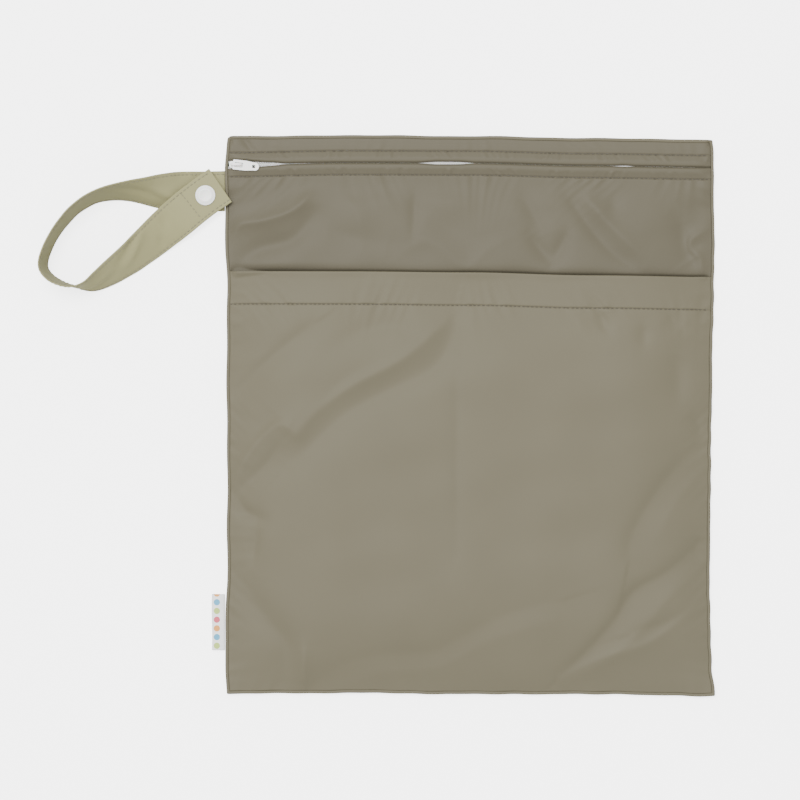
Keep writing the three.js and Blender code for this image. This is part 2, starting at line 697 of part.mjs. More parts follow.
// The label: a tape folded double, its fold outwards and its ends in the seam
const labelY = -bagHeight / 2 + labelFromBottom;
function label() {
  const slit = labelLayer / 2;
  const half = labelLayer + slit / 2;
  const shape = new THREE.Shape();
  shape.moveTo(0, half);
  shape.lineTo(half - labelReach, half);
  shape.absarc(half - labelReach, 0, half, Math.PI / 2, Math.PI * 1.5);
  shape.lineTo(0, -half);
  shape.lineTo(0, -slit / 2);
  shape.lineTo(half - labelReach, -slit / 2);
  shape.lineTo(half - labelReach, slit / 2);
  shape.lineTo(0, slit / 2);
  const settings = { depth: labelLength, bevelEnabled: false, curveSegments: 6 };
  return new THREE.ExtrudeGeometry(shape, settings).rotateX(Math.PI / 2).translate(0, labelLength, 0);
}

const finish = (color, roughness) => new THREE.MeshStandardMaterial({ color, roughness, metalness: 0 });
const pocketCloth = finish(0x928d7a, 0.72);
const upperCloth = finish(0x857f6e, 0.72);
const strapCloth = finish(0xafab92, 0.75);
const whitePlastic = finish(0xe7e8e4, 0.35);
const whiteTape = finish(0xe4e4e0, 0.8);
const darkTape = finish(0x6f6957, 0.85);

const bag = new THREE.Group();
function place(name, geometry, material, x = 0, y = 0, z = 0, parent = bag) {
  const mesh = new THREE.Mesh(geometry, material);
  mesh.name = name;
  mesh.position.set(x, y, z);
  parent.add(mesh);
}

place("back_panel", backPanel(), upperCloth);
place("front_panel", panel(frontRows, columns, frontUnder, () => cloth), upperCloth);
place("top_strip", panel(stripRows, columns, frontUnder, () => cloth), upperCloth);
place("pocket_panel", panel(pocketRows, columns, pocketUnder, pocketWall), pocketCloth);
place("zipper_tape_upper", tape(1), darkTape);
place("zipper_tape_lower", tape(-1), darkTape);
place("zipper_coil", zipCoil(), whiteTape);
place("slider_body", slider(), whitePlastic, sliderMiddle, slotAtSlider);

const pull = new THREE.Group();
pull.position.set(sliderMiddle - pivotBack, slotAtSlider, pivotHeight);
pull.rotation.z = radians(tabYaw);
bag.add(pull);
place("pull_tab", pullTab(), whitePlastic, 0, 0, 0, pull);

place("strap", strap(), strapCloth);
const capHeightAt = upperStrapUnder + strapThickness + gap;
const postHeightAt = lowerStrapUnder + strapThickness + gap;
place("snap_cap", snapCap(), whitePlastic, snapPoint.x, snapPoint.y, capHeightAt);
place("snap_post", snapPost(), whitePlastic, snapPoint.x, snapPoint.y, postHeightAt);
place("snap_back_cap", snapBackCap(), whitePlastic, snapPoint.x, snapPoint.y, 0);
const labelMiddle = labelY + labelLength / 2;
place("label", label(), whiteTape, leftEdge(labelMiddle) - gap, labelY, labelLift + labelLayer);

export default bag;
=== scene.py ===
# A cloth wet bag lying on its back: zipped main compartment, open front pocket, snapped wrist strap.
import json
from math import pi, radians

import bmesh
import bpy
import numpy as np
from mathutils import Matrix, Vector


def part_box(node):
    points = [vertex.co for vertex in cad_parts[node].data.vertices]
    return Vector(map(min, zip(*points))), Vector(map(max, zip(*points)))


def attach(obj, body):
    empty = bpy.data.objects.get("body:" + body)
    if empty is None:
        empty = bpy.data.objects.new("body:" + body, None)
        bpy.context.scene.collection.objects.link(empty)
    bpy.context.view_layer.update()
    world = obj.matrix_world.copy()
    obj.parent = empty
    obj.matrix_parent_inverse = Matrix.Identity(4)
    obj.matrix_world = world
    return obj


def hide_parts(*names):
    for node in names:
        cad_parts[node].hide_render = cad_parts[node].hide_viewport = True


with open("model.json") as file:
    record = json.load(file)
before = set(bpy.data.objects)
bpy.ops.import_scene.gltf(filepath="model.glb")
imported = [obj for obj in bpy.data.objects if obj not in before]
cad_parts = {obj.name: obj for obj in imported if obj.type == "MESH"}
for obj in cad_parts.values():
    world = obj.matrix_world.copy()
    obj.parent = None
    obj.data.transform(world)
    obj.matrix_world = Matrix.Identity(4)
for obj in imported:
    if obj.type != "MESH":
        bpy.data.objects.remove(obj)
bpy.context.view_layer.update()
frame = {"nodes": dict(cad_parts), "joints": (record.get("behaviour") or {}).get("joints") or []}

mm = 0.001

# camera: straight down on the bag, the photograph's frame is 496 mm wide
cameraSettings = {
    "frameWidth": 496.0,       # mm of the surface across the picture
    "middle": (-43.0, 9.8),    # mm, what the picture is centred on
    "lens": 150.0,
    "sensor": 36.0,
    "focusHeight": 4.0,        # mm above the floor where the scale is true
}


def newObject(name, data):
    # an object that holds the data, in the scene
    made = bpy.data.objects.new(name, data)
    bpy.context.scene.collection.objects.link(made)
    return made


def makeCamera(settings):
    # looks straight down from where its lens takes in the frame's width
    data = bpy.data.cameras.new("camera")
    data.lens = settings["lens"]
    data.sensor_width = settings["sensor"]
    data.clip_end = 20
    distance = settings["frameWidth"] * settings["lens"] / settings["sensor"]
    camera = newObject("camera", data)
    x, y = settings["middle"]
    camera.location = (x * mm, y * mm, (distance + settings["focusHeight"]) * mm)
    bpy.context.scene.camera = camera


makeCamera(cameraSettings)
print("camera made")

# the bag's sizes in mm; its outline, walls and lofts are the solids' own
bag = {
    "width": 301.0,
    "height": 346.0,
    "cloth": 1.0,
    "gap": 0.3,
    "lipWidth": 1.9,
    "lipGap": 0.12,
    "cornerRadii": (1.1, 1.0, 1.0, 2.8),   # from the lower left corner round
    "frontLoft": 4.5,
    "loftSpread": 70.0,
    "pocketHeight": 261.0,
    "hemWidth": 20.0,
    "pocketLoft": 4.7,
    "mouthValley": 1.1,        # how far the front sinks there
    "mouthCrease": 1.4,        # how much further right at the edge
    "mouthLoft": 1.1,          # how far the pocket's mouth stands off the front
    "pocketCloth": 0.8,        # one wall of the pocket; its hem is a wall and a half
    "pocketSpread": 48.0,
    "stripHeight": 17.5,
    "slotWidest": 5.2,
    "stitchFromSlot": 7.4,
    "flapRise": 9.0,
    "foldHeight": 2.9,
    "edgeDip": 0.5,            # how far the flaps' folded edges roll down into the slot
    "edgeThin": 0.7,           # how much thinner the cloth is at those edges
    "seamSink": 0.6,           # how far the panels' cut edges lie below their face, under the lip
    "stitchLift": 0.7,         # how far the flaps stay off the tapes where they are stitched
    "wander": 0.22,            # how far the bag's edges stray
}

# how high the cloth's fine relief stands, in mm
fineRelief = {
    "frontWaves": 0.9,
    "pocketWaves": 0.7,
    "flapWrinkles": 1.1,       # between the slot and its stitching
    "zipPuckers": 0.85,        # on the far side of that stitching
    "sidePuckers": 0.7,        # along the front's side seams
    "pocketSides": 0.8,
    "pocketFloor": 0.6,
    "hemPuckers": 0.8,
    "mouthRoll": 0.25,
    "groove": 0.45,            # how deep a line of stitching pulls in
    "grooveWidth": 0.5,
}

zipSizes = {
    "plate": 0.7,
    "tape": 1.0,
    "coilWidth": 4.2,
    "coilHeight": 1.5,         # the room it has
    "coilTall": 1.1,
    "tapeWidth": 11.0,
    "pitch": 1.42,
    "wire": 0.34,
}

# how far the lines across the bag lie above their place, as shares of its height
lineTable = {
    "across": [0.0, 0.25, 0.5, 0.75, 1.0],
    "top": [0.0014, 0.0032, 0.0014, -0.0014, -0.0049],
    "slot": [0.0003, 0.0038, 0.0032, -0.0017, -0.0046],
    "pocket": [0.0038, 0.0032, 0.0012, -0.004, -0.0066],
    "bottom": [0.0014, 0.0029, 0.0006, 0.0006, -0.0029],
}

# how far its sides stand out, as shares of its width
sideTable = {
    "up": [0.0, 0.05, 0.12, 0.21, 0.4, 0.6, 0.72, 0.8, 0.93, 1.0],
    "left": [0.001, 0.0025, 0.0033, -0.001, -0.001, 0.001, -0.001, 0.0033, 0.0033, 0.0],
    "right": [0.0066, 0.0, -0.003, -0.0043, -0.002, 0.001, 0.004, 0.006, 0.004, 0.002],
}

# how far the slot over the zip stands open, as shares of slotWidest
slotTable = {
    "across": [0.0, 0.04, 0.055, 0.09, 0.125, 0.2, 0.39, 0.435, 0.475, 0.515, 0.79, 0.82, 0.845,
               0.885, 0.93, 1.0],
    "open": [1.0, 1.0, 0.7, 0.42, 0.09, 0.055, 0.055, 0.34, 0.32, 0.055, 0.055, 0.17, 0.04,
             0.06, 0.055, 0.05],
}


def readTable(table, key, column, at):
    # smooth steps between the rows of a table
    keys = np.array(table[key])
    values = np.array(table[column])
    at = np.asarray(at, float)
    i = np.clip(np.searchsorted(keys, at, side="right") - 1, 0, len(keys) - 2)
    share = np.clip((at - keys[i]) / (keys[i + 1] - keys[i]), 0, 1)
    share = share * share * (3 - 2 * share)
    return values[i] + (values[i + 1] - values[i]) * share


def rise(distance, spread):
    # nought at a seam, one at a distance of spread, on a parabola
    short = 1 - np.clip(distance / spread, 0, 1)
    return 1 - short * short


def ease(value, low, high):
    # nought up to low, one from high on, a smooth step between
    share = np.clip((value - low) / (high - low), 0, 1)
    return share * share * (3 - 2 * share)


def mix(a, b, share):
    # a at a share of nought, b at one
    return a + (b - a) * share


def unit(vectors):
    # each vector over its own length
    return vectors / np.linalg.norm(vectors, axis=-1, keepdims=True)


def strayed(along, seed):
    # how far an edge strays from its line, at a place along it
    along = np.asarray(along, float)
    return 2 * bag["wander"] * waves(along, along, seed, 5, 18, 75)


def sideEdge(y, way, column, seed):
    # half the bag's width and the side's share of it from the table, with the edge's straying
    share = 0.5 + readTable(sideTable, "up", column, y / bag["height"] + 0.5)
    return way * bag["width"] * share + strayed(y, seed)


def leftEdge(y):
    return sideEdge(y, -1, "left", 51)


def rightEdge(y):
    return sideEdge(y, 1, "right", 52)


def lineAt(column, u):
    # a line's place above its own height, in mm; u runs from nought at the left to one
    return bag["height"] * readTable(lineTable, "across", column, u)


def topEdge(u):
    return bag["height"] / 2 + lineAt("top", u) + strayed(np.asarray(u) * bag["width"], 53)


def bottomEdge(u):
    return -bag["height"] / 2 + lineAt("bottom", u) + strayed(np.asarray(u) * bag["width"], 54)


def slotLine(u):
    return bag["height"] / 2 - bag["stripHeight"] + lineAt("slot", u)


def pocketEdge(u):
    return -bag["height"] / 2 + bag["pocketHeight"] + lineAt("pocket", u)


def hemLine(u):
    return pocketEdge(u) - bag["hemWidth"]


def acrossAt(x):
    return x / bag["width"] + 0.5


# heights of the layers, each from the one below it
backTop = bag["cloth"]
sliderFoot = backTop + bag["gap"]
tapeBottom = sliderFoot + zipSizes["plate"] + bag["gap"]
tapeTop = tapeBottom + zipSizes["tape"]
coilBottom = tapeTop + bag["gap"]
coilTop = coilBottom + zipSizes["coilHeight"]
flapBottom = coilTop + bag["gap"]

# distances in from the bag's outline, and out from the slot line
edgeInset = bag["cloth"] + bag["gap"]
overCoil = zipSizes["coilWidth"] / 2 + 2 * bag["gap"]
tapeEnd = zipSizes["tapeWidth"] + bag["gap"]

# folds: each row is a path in shares of the bag's width and height from its lower left corner,
# then its two flank widths in mm (left and right of its direction) and its height as a share
# of foldHeight, a valley below nought
pocketFolds = [
    ([(0.472, 0.69), (0.455, 0.63), (0.42, 0.585), (0.33, 0.548), (0.25, 0.51), (0.18, 0.457),
      (0.125, 0.41)], 9, 13, -1.0),
    ([(0.45, 0.665), (0.36, 0.6), (0.26, 0.555), (0.19, 0.51), (0.145, 0.468)], 8, 10, 0.75),
    ([(0.15, 0.464), (0.11, 0.485), (0.065, 0.455), (0.03, 0.41), (0.007, 0.365)], 7, 6, 0.6),
    ([(0.115, 0.455), (0.08, 0.41), (0.02, 0.362)], 9, 5, -0.55),
    ([(0.007, 0.354), (0.03, 0.333), (0.075, 0.315)], 4, 4, -0.7),
    ([(0.063, 0.303), (0.055, 0.24)], 4, 5, -0.5),
    ([(0.034, 0.196), (0.083, 0.137), (0.124, 0.09), (0.124, 0.03)], 9, 10, -0.9),
    ([(0.16, 0.09), (0.158, 0.015)], 6, 7, 0.7),
    ([(0.186, 0.022), (0.248, 0.054), (0.33, 0.071), (0.425, 0.076), (0.495, 0.107),
      (0.563, 0.137), (0.666, 0.166)], 8, 18, -0.55),
    ([(0.22, 0.012), (0.32, 0.04), (0.44, 0.052), (0.54, 0.098), (0.67, 0.135)], 7, 8, 0.15),
    ([(0.98, 0.273), (0.907, 0.22), (0.837, 0.184), (0.796, 0.13), (0.734, 0.07),
      (0.687, 0.035)], 15, 4.5, -0.85),
    ([(0.99, 0.24), (0.92, 0.185), (0.865, 0.13), (0.8, 0.075), (0.7, 0.02)], 7, 9, 0.3),
    ([(0.975, 0.165), (0.907, 0.13), (0.837, 0.112)], 11, 4, -0.5),
    ([(0.99, 0.18), (0.94, 0.14), (0.866, 0.094), (0.77, 0.066), (0.69, 0.03)], 8, 5, 0.45),
    ([(0.928, 0.61), (0.928, 0.524)], 9, 9, -0.7),
    ([(0.96, 0.506), (0.985, 0.46)], 6, 6, -0.5),
    ([(0.969, 0.442), (0.92, 0.4), (0.872, 0.345), (0.837, 0.29), (0.827, 0.25)], 18, 6, -0.7),
    ([(0.985, 0.41), (0.93, 0.35), (0.89, 0.29)], 8, 8, 0.15),
    ([(0.178, 0.662), (0.116, 0.62), (0.063, 0.578), (0.021, 0.542)], 12, 5, -0.6),
    ([(0.219, 0.62), (0.275, 0.65), (0.343, 0.662), (0.392, 0.64)], 8, 8, -0.4),
    ([(0.178, 0.495), (0.234, 0.555), (0.302, 0.59)], 7, 7, -0.4),
    ([(0.104, 0.506), (0.054, 0.453)], 8, 8, -0.5),
    ([(0.475, 0.6), (0.474, 0.255)], 3.5, 5, -0.22),
    ([(0.765, 0.685), (0.784, 0.65)], 5, 5, -0.5),
    ([(0.858, 0.662), (0.858, 0.626)], 5, 5, -0.4),
    ([(0.907, 0.68), (0.934, 0.657)], 5, 5, -0.4),
    ([(0.6, 0.5), (0.7, 0.42), (0.78, 0.3)], 22, 22, 0.25),
    ([(0.52, 0.33), (0.62, 0.25), (0.74, 0.2)], 20, 20, 0.2),
    ([(0.3, 0.3), (0.4, 0.22), (0.5, 0.17)], 22, 22, 0.25),
]

stripFolds = [
    ([(0.032, 0.999), (0.041, 0.988), (0.052, 0.974)], 2.6, 2.2, -0.42),
    ([(0.005, 0.962), (0.025, 0.953), (0.05, 0.949)], 2.0, 2.4, -0.3),
    ([(0.075, 0.985), (0.12, 0.972)], 4.0, 4.0, -0.12),
]

frontFolds = [
    ([(0.178, 0.908), (0.145, 0.872), (0.083, 0.851), (0.028, 0.842), (0.013, 0.823)], 6, 7, 0.9),
    ([(0.178, 0.86), (0.137, 0.818), (0.069, 0.8), (0.034, 0.782)], 7, 7, -0.8),
    ([(0.207, 0.829), (0.33, 0.805)], 9, 9, -0.45),
    ([(0.388, 0.908), (0.384, 0.818)], 4, 4, -0.35),
    ([(0.419, 0.86), (0.454, 0.837), (0.508, 0.815), (0.563, 0.823)], 8, 12, -0.25),
    ([(0.357, 0.788), (0.4, 0.811), (0.44, 0.802), (0.495, 0.766), (0.542, 0.8),
      (0.61, 0.829)], 7, 9, 0.22),
    ([(0.625, 0.823), (0.666, 0.775)], 5, 5, -0.6),
    ([(0.701, 0.829), (0.672, 0.775)], 5, 5, -0.5),
    ([(0.604, 0.908), (0.652, 0.823)], 6, 6, -0.5),
    ([(0.691, 0.917), (0.722, 0.872), (0.763, 0.823), (0.804, 0.788), (0.858, 0.757)], 12, 5, -0.8),
    ([(0.73, 0.905), (0.78, 0.85), (0.85, 0.79)], 8, 8, 0.6),
    ([(0.796, 0.908), (0.796, 0.865)], 7, 7, -0.5),
    ([(0.934, 0.847), (0.948, 0.8), (0.96, 0.782)], 6, 7, -0.8),
    ([(0.996, 0.836), (0.96, 0.818), (0.955, 0.8), (0.975, 0.782), (0.981, 0.757)], 5, 5, 0.6),
    ([(0.24, 0.9), (0.27, 0.86), (0.28, 0.8)], 10, 10, 0.35),
]


def smoothPath(points, count):
    # a cubic through the points, the same as a Catmull-Rom curve, at evenly spaced parameters
    p = np.array(points, float)
    p = np.vstack([2 * p[0] - p[1], p, 2 * p[-1] - p[-2]])
    t = np.linspace(0, len(points) - 1, count)
    i = np.clip(t.astype(int), 0, len(points) - 2)
    f = (t - i)[:, None]
    a, b, c, d = p[i], p[i + 1], p[i + 2], p[i + 3]
    curve = 2 * b + (c - a) * f + (2 * a - 5 * b + 4 * c - d) * f**2
    return 0.5 * (curve + (3 * b - a - 3 * c + d) * f**3)


def foldsAt(table, x, y):
    # each fold has a crest along its path and hollow flanks, its two sides unlike, and it fades in
    # and out along its length; a ridge is sharper than a valley
    height = np.zeros_like(x)
    for path, wideLeft, wideRight, high in table:
        line = smoothPath(path, 6 * len(path))
        line = (line - 0.5) * (bag["width"], bag["height"])
        reach = 3 * max(wideLeft, wideRight)
        low, top = line.min(0) - reach, line.max(0) + reach
        near = (x > low[0]) & (x < top[0]) & (y > low[1]) & (y < top[1])
        if not near.any():
            continue
        px, py = x[near][:, None], y[near][:, None]
        start, step = line[:-1], np.diff(line, axis=0)
        length2 = (step**2).sum(1)
        rx, ry = px - start[:, 0], py - start[:, 1]
        along = np.clip((rx * step[:, 0] + ry * step[:, 1]) / length2, 0, 1)
        away2 = (rx - along * step[:, 0]) ** 2 + (ry - along * step[:, 1]) ** 2
        best = away2.argmin(1)
        pick = np.arange(len(best))
        side = step[best, 0] * ry[pick, best] - step[best, 1] * rx[pick, best]
        share = (best + along[pick, best]) / len(step)
        wide = np.where(side > 0, wideLeft, wideRight)
        crest = 0.3 if high > 0 else 0.8
        bell = np.exp(crest - np.sqrt(crest**2 + 2.2 * away2[pick, best] / wide**2))
        height[near] += high * bag["foldHeight"] * bell * np.sin(pi * (0.08 + 0.84 * share)) ** 0.6
    return height


def waves(x, y, seed, count, shortest, longest):
    # a sum of plane waves with chosen directions and lengths, between -1 and 1
    rng = np.random.default_rng(seed)
    total = np.zeros_like(x)
    for _ in range(count):
        turn = rng.uniform(0, pi)
        length = rng.uniform(shortest, longest)
        shift = rng.uniform(0, 2 * pi)
        total += np.sin((x * np.cos(turn) + y * np.sin(turn)) * 2 * pi / length + shift)
    return total / count


def puckers(along, away, seed, reach, pitch):
    # short sharp wrinkles that leave a line of stitching, strongest close to it; they lean as they
    # go, and come and go along the line
    rng = np.random.default_rng(seed)
    shift = rng.uniform(0, 2 * pi, 6)
    lean = 0.8 * np.sin(along / (pitch * 5.0) + shift[5]) + 0.35
    total = 0
    for i, stretch in enumerate((1.0, 1.63, 2.71)):
        phase = (along + lean * away * (1 - 0.5 * i)) * pi / (pitch * stretch) + shift[i]
        total = total + 0.64 - np.abs(np.sin(phase + 0.7 * np.sin(along / (pitch * 3.1) + shift[3])))
    patchy = 0.5 + 0.5 * np.sin(along * 2 * pi / (pitch * 9.3) + shift[4])
    return total / 2 * patchy * np.exp(-np.abs(away) / reach)


def insets(x, y):
    # how far a place lies in from the left, right, bottom and top edges
    u = acrossAt(x)
    return x - leftEdge(y), rightEdge(y) - x, y - bottomEdge(u), topEdge(u) - y


def stripLevel(u):
    # how far the bag's top edge lies above the slot, less the wall that rolls over it
    return topEdge(u) - slotLine(u) - bag["cloth"] - bag["gap"]


def slotHalf(u):
    # half of how wide the slot stands open
    return bag["slotWidest"] * readTable(slotTable, "across", "open", u) / 2


def mouthValley(x, y):
    # the front sinks away along the pocket's mouth, deepest at the left
    u = acrossAt(x)
    uneven = 0.6 * waves(x, 0 * x, 62, 4, 45, 150) + 0.5 * np.exp(-((u - 0.12) / 0.12) ** 2)
    deep = bag["mouthValley"] * (1 + uneven)
    beyond = y - pocketEdge(u)
    close = bag["mouthCrease"] * np.exp(-((beyond / np.where(beyond > 0, 1.1, 3.0)) ** 2))
    return deep * np.exp(-((beyond / np.where(beyond > 0, 3.2, 6.0)) ** 2)) + close


def grooveAt(away):
    # a bell-shaped dip along a line of stitching
    return -fineRelief["groove"] * np.exp(-(away / fineRelief["grooveWidth"]) ** 2)


def frontUnder(x, y):
    # the front's rise from its seams, drawn down to the tapes along the zip, plus folds, waves and
    # puckers, less the grooves, the roll into the slot and the valley at the pocket's mouth
    fine = fineRelief
    u = acrossAt(x)
    left, right, bottom, top = insets(x, y)
    spread = bag["loftSpread"]
    full = rise(left, spread) * rise(right, spread) * rise(bottom, spread) * rise(top, spread)
    seamed = backTop + bag["gap"] + bag["frontLoft"] * full + bag["seamSink"]
    away = y - slotLine(u)
    above = away > 0
    side = np.minimum(left, right) - edgeInset
    inner = np.minimum(np.minimum(side, bottom - edgeInset), top - edgeInset)
    flap = mix(tapeTop + bag["gap"], flapBottom, rise(side, bag["flapRise"]))
    toStitch = ease(np.abs(away), overCoil, bag["stitchFromSlot"])
    stitched = tapeTop + bag["gap"] + bag["stitchLift"]
    level = mix(flap, np.minimum(stitched, flap), toStitch)
    toTop = topEdge(u) - slotLine(u) - edgeInset
    fadeEnd = np.where(above, toTop, tapeEnd + bag["stitchFromSlot"] * 2)
    onZip = 1 - ease(np.abs(away), tapeEnd, fadeEnd)
    base = mix(seamed, level, onZip)
    thickTop = stitched - 0.5 * ease(away, bag["stitchFromSlot"] + 2, stripLevel(u))
    base = np.where(above, np.maximum(base, thickTop * rise(side, 3.0)), base)
    base = base - bag["seamSink"] * (1 - ease(inner, 0.4, 1.0))
    droop = 1 + 0.3 * np.exp(-(((u - 0.885) / 0.03) ** 2))
    pastSlot = (np.abs(away) - slotHalf(u)).clip(0)
    dip = bag["edgeDip"] * droop * np.exp(-(pastSlot / 0.75) ** 2) * rise(side, 5.0)
    seam = rise(side, 10.0)
    shown = ease(y, pocketEdge(u) - 6, pocketEdge(u) + 4) * (1 - onZip) * ~above
    relief = foldsAt(frontFolds, x, y) * shown * seam + foldsAt(stripFolds, x, y) * above
    soft = waves(x, y, 5, 9, 22, 70) * fine["frontWaves"] * seam * shown
    stitchAway = np.abs(away) - bag["stitchFromSlot"]
    onFlap = ease(stitchAway, -4.6, -3.0) * (stitchAway < 0)
    onFlap = onFlap * ease(u, 0.07, 0.11)
    wrinkled = puckers(x + np.where(above, 37, 0), away, 16, 30.0, 3.6)
    wrinkled = wrinkled * fine["flapWrinkles"] * onFlap
    outside = puckers(x, stitchAway, 11, 12.0, 7.0) * fine["zipPuckers"]
    outside = outside * (stitchAway > 0) * mix(1.0, 0.4, above) * ease(stitchAway, 0, 1.2)
    zipPuckers = (wrinkled + outside) * rise(side, 4.0) * rise(top - edgeInset, 3.0)
    sideSeam = puckers(y, side, 12, 9.0, 8.0) * fine["sidePuckers"] * rise(side, 2.0) * ~above
    valley = mouthValley(x, y) * rise(side - 1.0, 5.0)
    shape = base + relief + soft + grooveAt(stitchAway) - dip - valley
    shape = np.maximum(shape, backTop + bag["gap"])
    return shape + np.maximum(zipPuckers + sideSeam, -0.25)


def frontWall(x, y):
    # the cloth, worn thin where it folds over into the slot
    u = acrossAt(x)
    away = (np.abs(y - slotLine(u)) - slotHalf(u)).clip(0)
    return bag["cloth"] - bag["edgeThin"] * np.exp(-((away / 0.5) ** 2))


def pocketUnder(x, y):
    # stands off the front, most in its middle and less at its mouth
    u = acrossAt(x)
    left, right, bottom, _ = insets(x, y)
    fine = fineRelief
    nearest = np.minimum(left, right) - edgeInset
    spread = bag["pocketSpread"]
    sides = rise(left - edgeInset, spread) * rise(right - edgeInset, spread)
    up = rise(bottom - edgeInset, spread)
    toMouth = ease(y, pocketEdge(u) - 70, pocketEdge(u))
    mouth = bag["mouthLoft"] * (1 + 0.7 * waves(x, 0 * x, 61, 4, 40, 130))
    loft = mix(bag["pocketLoft"], mouth, toMouth)
    inner = np.minimum(nearest, bottom - edgeInset)
    seat = frontUnder(x, y) + edgeInset + mouthValley(x, y) * rise(inner - 1.0, 5.0)
    relief = foldsAt(pocketFolds, x, y) * rise(inner, 9.0)
    soft = waves(x, y, 3, 9, 26, 90) * fine["pocketWaves"] * rise(inner, 24.0)
    hemAway = y - hemLine(u)
    hemPuckers = puckers(x, hemAway, 13, 9.0, 7.0) * fine["hemPuckers"]
    hemPuckers = hemPuckers * rise(inner, 5.0) * ease(np.abs(hemAway), 0, 1.2)
    seams = puckers(y, nearest, 14, 9.0, 9.0) * fine["pocketSides"]
    seams = seams + puckers(x, bottom - edgeInset, 15, 8.0, 10.0) * fine["pocketFloor"]
    seams = seams + grooveAt(hemAway)
    mouthRoll = fine["mouthRoll"] * np.exp(-((y - pocketEdge(u)) / 2.5) ** 2) * rise(inner, 12.0)
    shape = seat + loft * sides * up + relief + soft + hemPuckers + mouthRoll
    return np.maximum(shape + seams * rise(inner, 2.0), seat)


def pocketWall(x, y):
    # thicker in the turned hem than below it
    hem = hemLine(acrossAt(x))
    return bag["pocketCloth"] * (1 + 0.5 * ease(y, hem - 0.6, hem + 0.4))


def frontTop(x, y):
    return frontUnder(x, y) + bag["cloth"]


def pocketTop(x, y):
    return pocketUnder(x, y) + pocketWall(x, y)


def meshObject(name, points, faces, uv=None, smooth=True):
    # points in mm; faces are quads or triangles as index arrays
    mesh = bpy.data.meshes.new(name)
    mesh.from_pydata((np.asarray(points) * mm).tolist(), [], faces)
    if uv is not None:
        layer = mesh.uv_layers.new(name="UVMap")
        corner = np.zeros(len(mesh.loops), int)
        mesh.loops.foreach_get("vertex_index", corner)
        layer.data.foreach_set("uv", np.asarray(uv, float)[corner].ravel())
    mesh.validate()
    mesh.polygons.foreach_set("use_smooth", [smooth] * len(mesh.polygons))
    mesh.update()
    return newObject(name, mesh)


def gridFaces(rows, columns, wrap=False):
    # quads of a grid of rows by columns, joined round in the columns if wrap
    r, c = np.meshgrid(np.arange(rows - 1), np.arange(columns if wrap else columns - 1), indexing="ij")
    a = r * columns + c
    b = r * columns + (c + 1) % columns
    return np.stack([a, b, b + columns, a + columns], -1).reshape(-1, 4)


def clothPanel(name, rowLines, columnShares, under, wall):
    # rows run up the bag and columns across it: a top sheet and an underside, joined by a
    # half-round wall all the way round the cut edge
    u = np.asarray(columnShares)[None, :]
    y = np.stack([line(u[0]) for line in rowLines])
    x = mix(leftEdge(y) + edgeInset, rightEdge(y) - edgeInset, u)
    low = under(x, y)
    thick = wall(x, y)
    rows, columns = y.shape
    rim = np.concatenate([
        np.arange(columns - 1),
        np.arange(rows - 1) * columns + columns - 1,
        (rows - 1) * columns + np.arange(columns - 1, 0, -1),
        np.arange(rows - 1, 0, -1) * columns,
    ])
    flat = lambda grid: np.broadcast_to(grid, y.shape).ravel()
    top = np.stack([flat(x), flat(y), flat(low + thick)], 1)
    bottom = np.stack([flat(x), flat(y), flat(low)], 1)
    edge = top[rim]
    ahead = np.roll(edge, -1, 0) - np.roll(edge, 1, 0)
    out = unit(np.stack([ahead[:, 1], -ahead[:, 0]], 1))
    half = (top[rim, 2] - bottom[rim, 2])[:, None] / 2
    loops = []
    for angle in (pi / 4, 0, -pi / 4):
        ring = np.empty((len(rim), 3))
        bulge = half * np.cos(angle) * 0.5
        ring[:, :2] = edge[:, :2] + out * bulge
        ring[:, 2] = (top[rim, 2] + bottom[rim, 2]) / 2 + half[:, 0] * np.sin(angle)
        loops.append(ring)
    count = len(top)
    size = len(rim)
    chain = [rim] + [2 * count + k * size + np.arange(size) for k in range(3)] + [rim + count]
    faces = gridFaces(rows, columns)
    walls = []
    for upper, lower in zip(chain[:-1], chain[1:]):
        walls.append(np.stack([lower, np.roll(lower, -1), np.roll(upper, -1), upper], 1))
    everything = np.vstack([faces, faces[:, ::-1] + count] + walls)
    points = np.vstack([top, bottom] + loops)
    return meshObject(name, points, everything.tolist(), uv=points[:, :2] / 100)


def loopSkin(name, loops, uv=None):
    # a closed skin over a list of rings with as many points each, and a fan at both ends
    rings = np.asarray(loops)
    count, size = rings.shape[:2]
    points = rings.reshape(-1, 3)
    faces = gridFaces(count, size, wrap=True)
    middles = np.vstack([rings[0].mean(0), rings[-1].mean(0)])
    here = np.arange(size)
    following = (here + 1) % size
    tail = (count - 1) * size
    first = np.stack([np.full(size, len(points)), following, here], 1)
    last = np.stack([np.full(size, len(points) + 1), tail + here, tail + following], 1)
    if uv is not None:
        uv = np.asarray(uv).reshape(count, size, 2)
        uv = np.vstack([uv.reshape(-1, 2), uv[0].mean(0), uv[-1].mean(0)])
    everything = faces.tolist() + first.tolist() + last.tolist()
    return meshObject(name, np.vstack([points, middles]), everything, uv=uv)


# rows of the panels, as functions of the share across
def between(low, high, shares):
    # a row at each share of the way from one line to another
    return [lambda u, s=s: mix(low(u), high(u), s) for s in shares]


def evenly(count, quickCount=None):
    return np.linspace(0, 1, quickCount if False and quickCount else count)


def fromSlot(distance):
    # a line that follows the slot at a distance
    return lambda u: slotLine(u) + distance


def beside(line, distances):
    # a row at each distance above a line
    return [lambda u, d=d: line(u) + d for d in distances]


def crossing(count):
    # shares across a panel, closer together at its two cut edges
    close = edgeRows / bag["width"]
    return np.concatenate([close, np.linspace(close[-1], 1 - close[-1], count)[1:-1], 1 - close[::-1]])


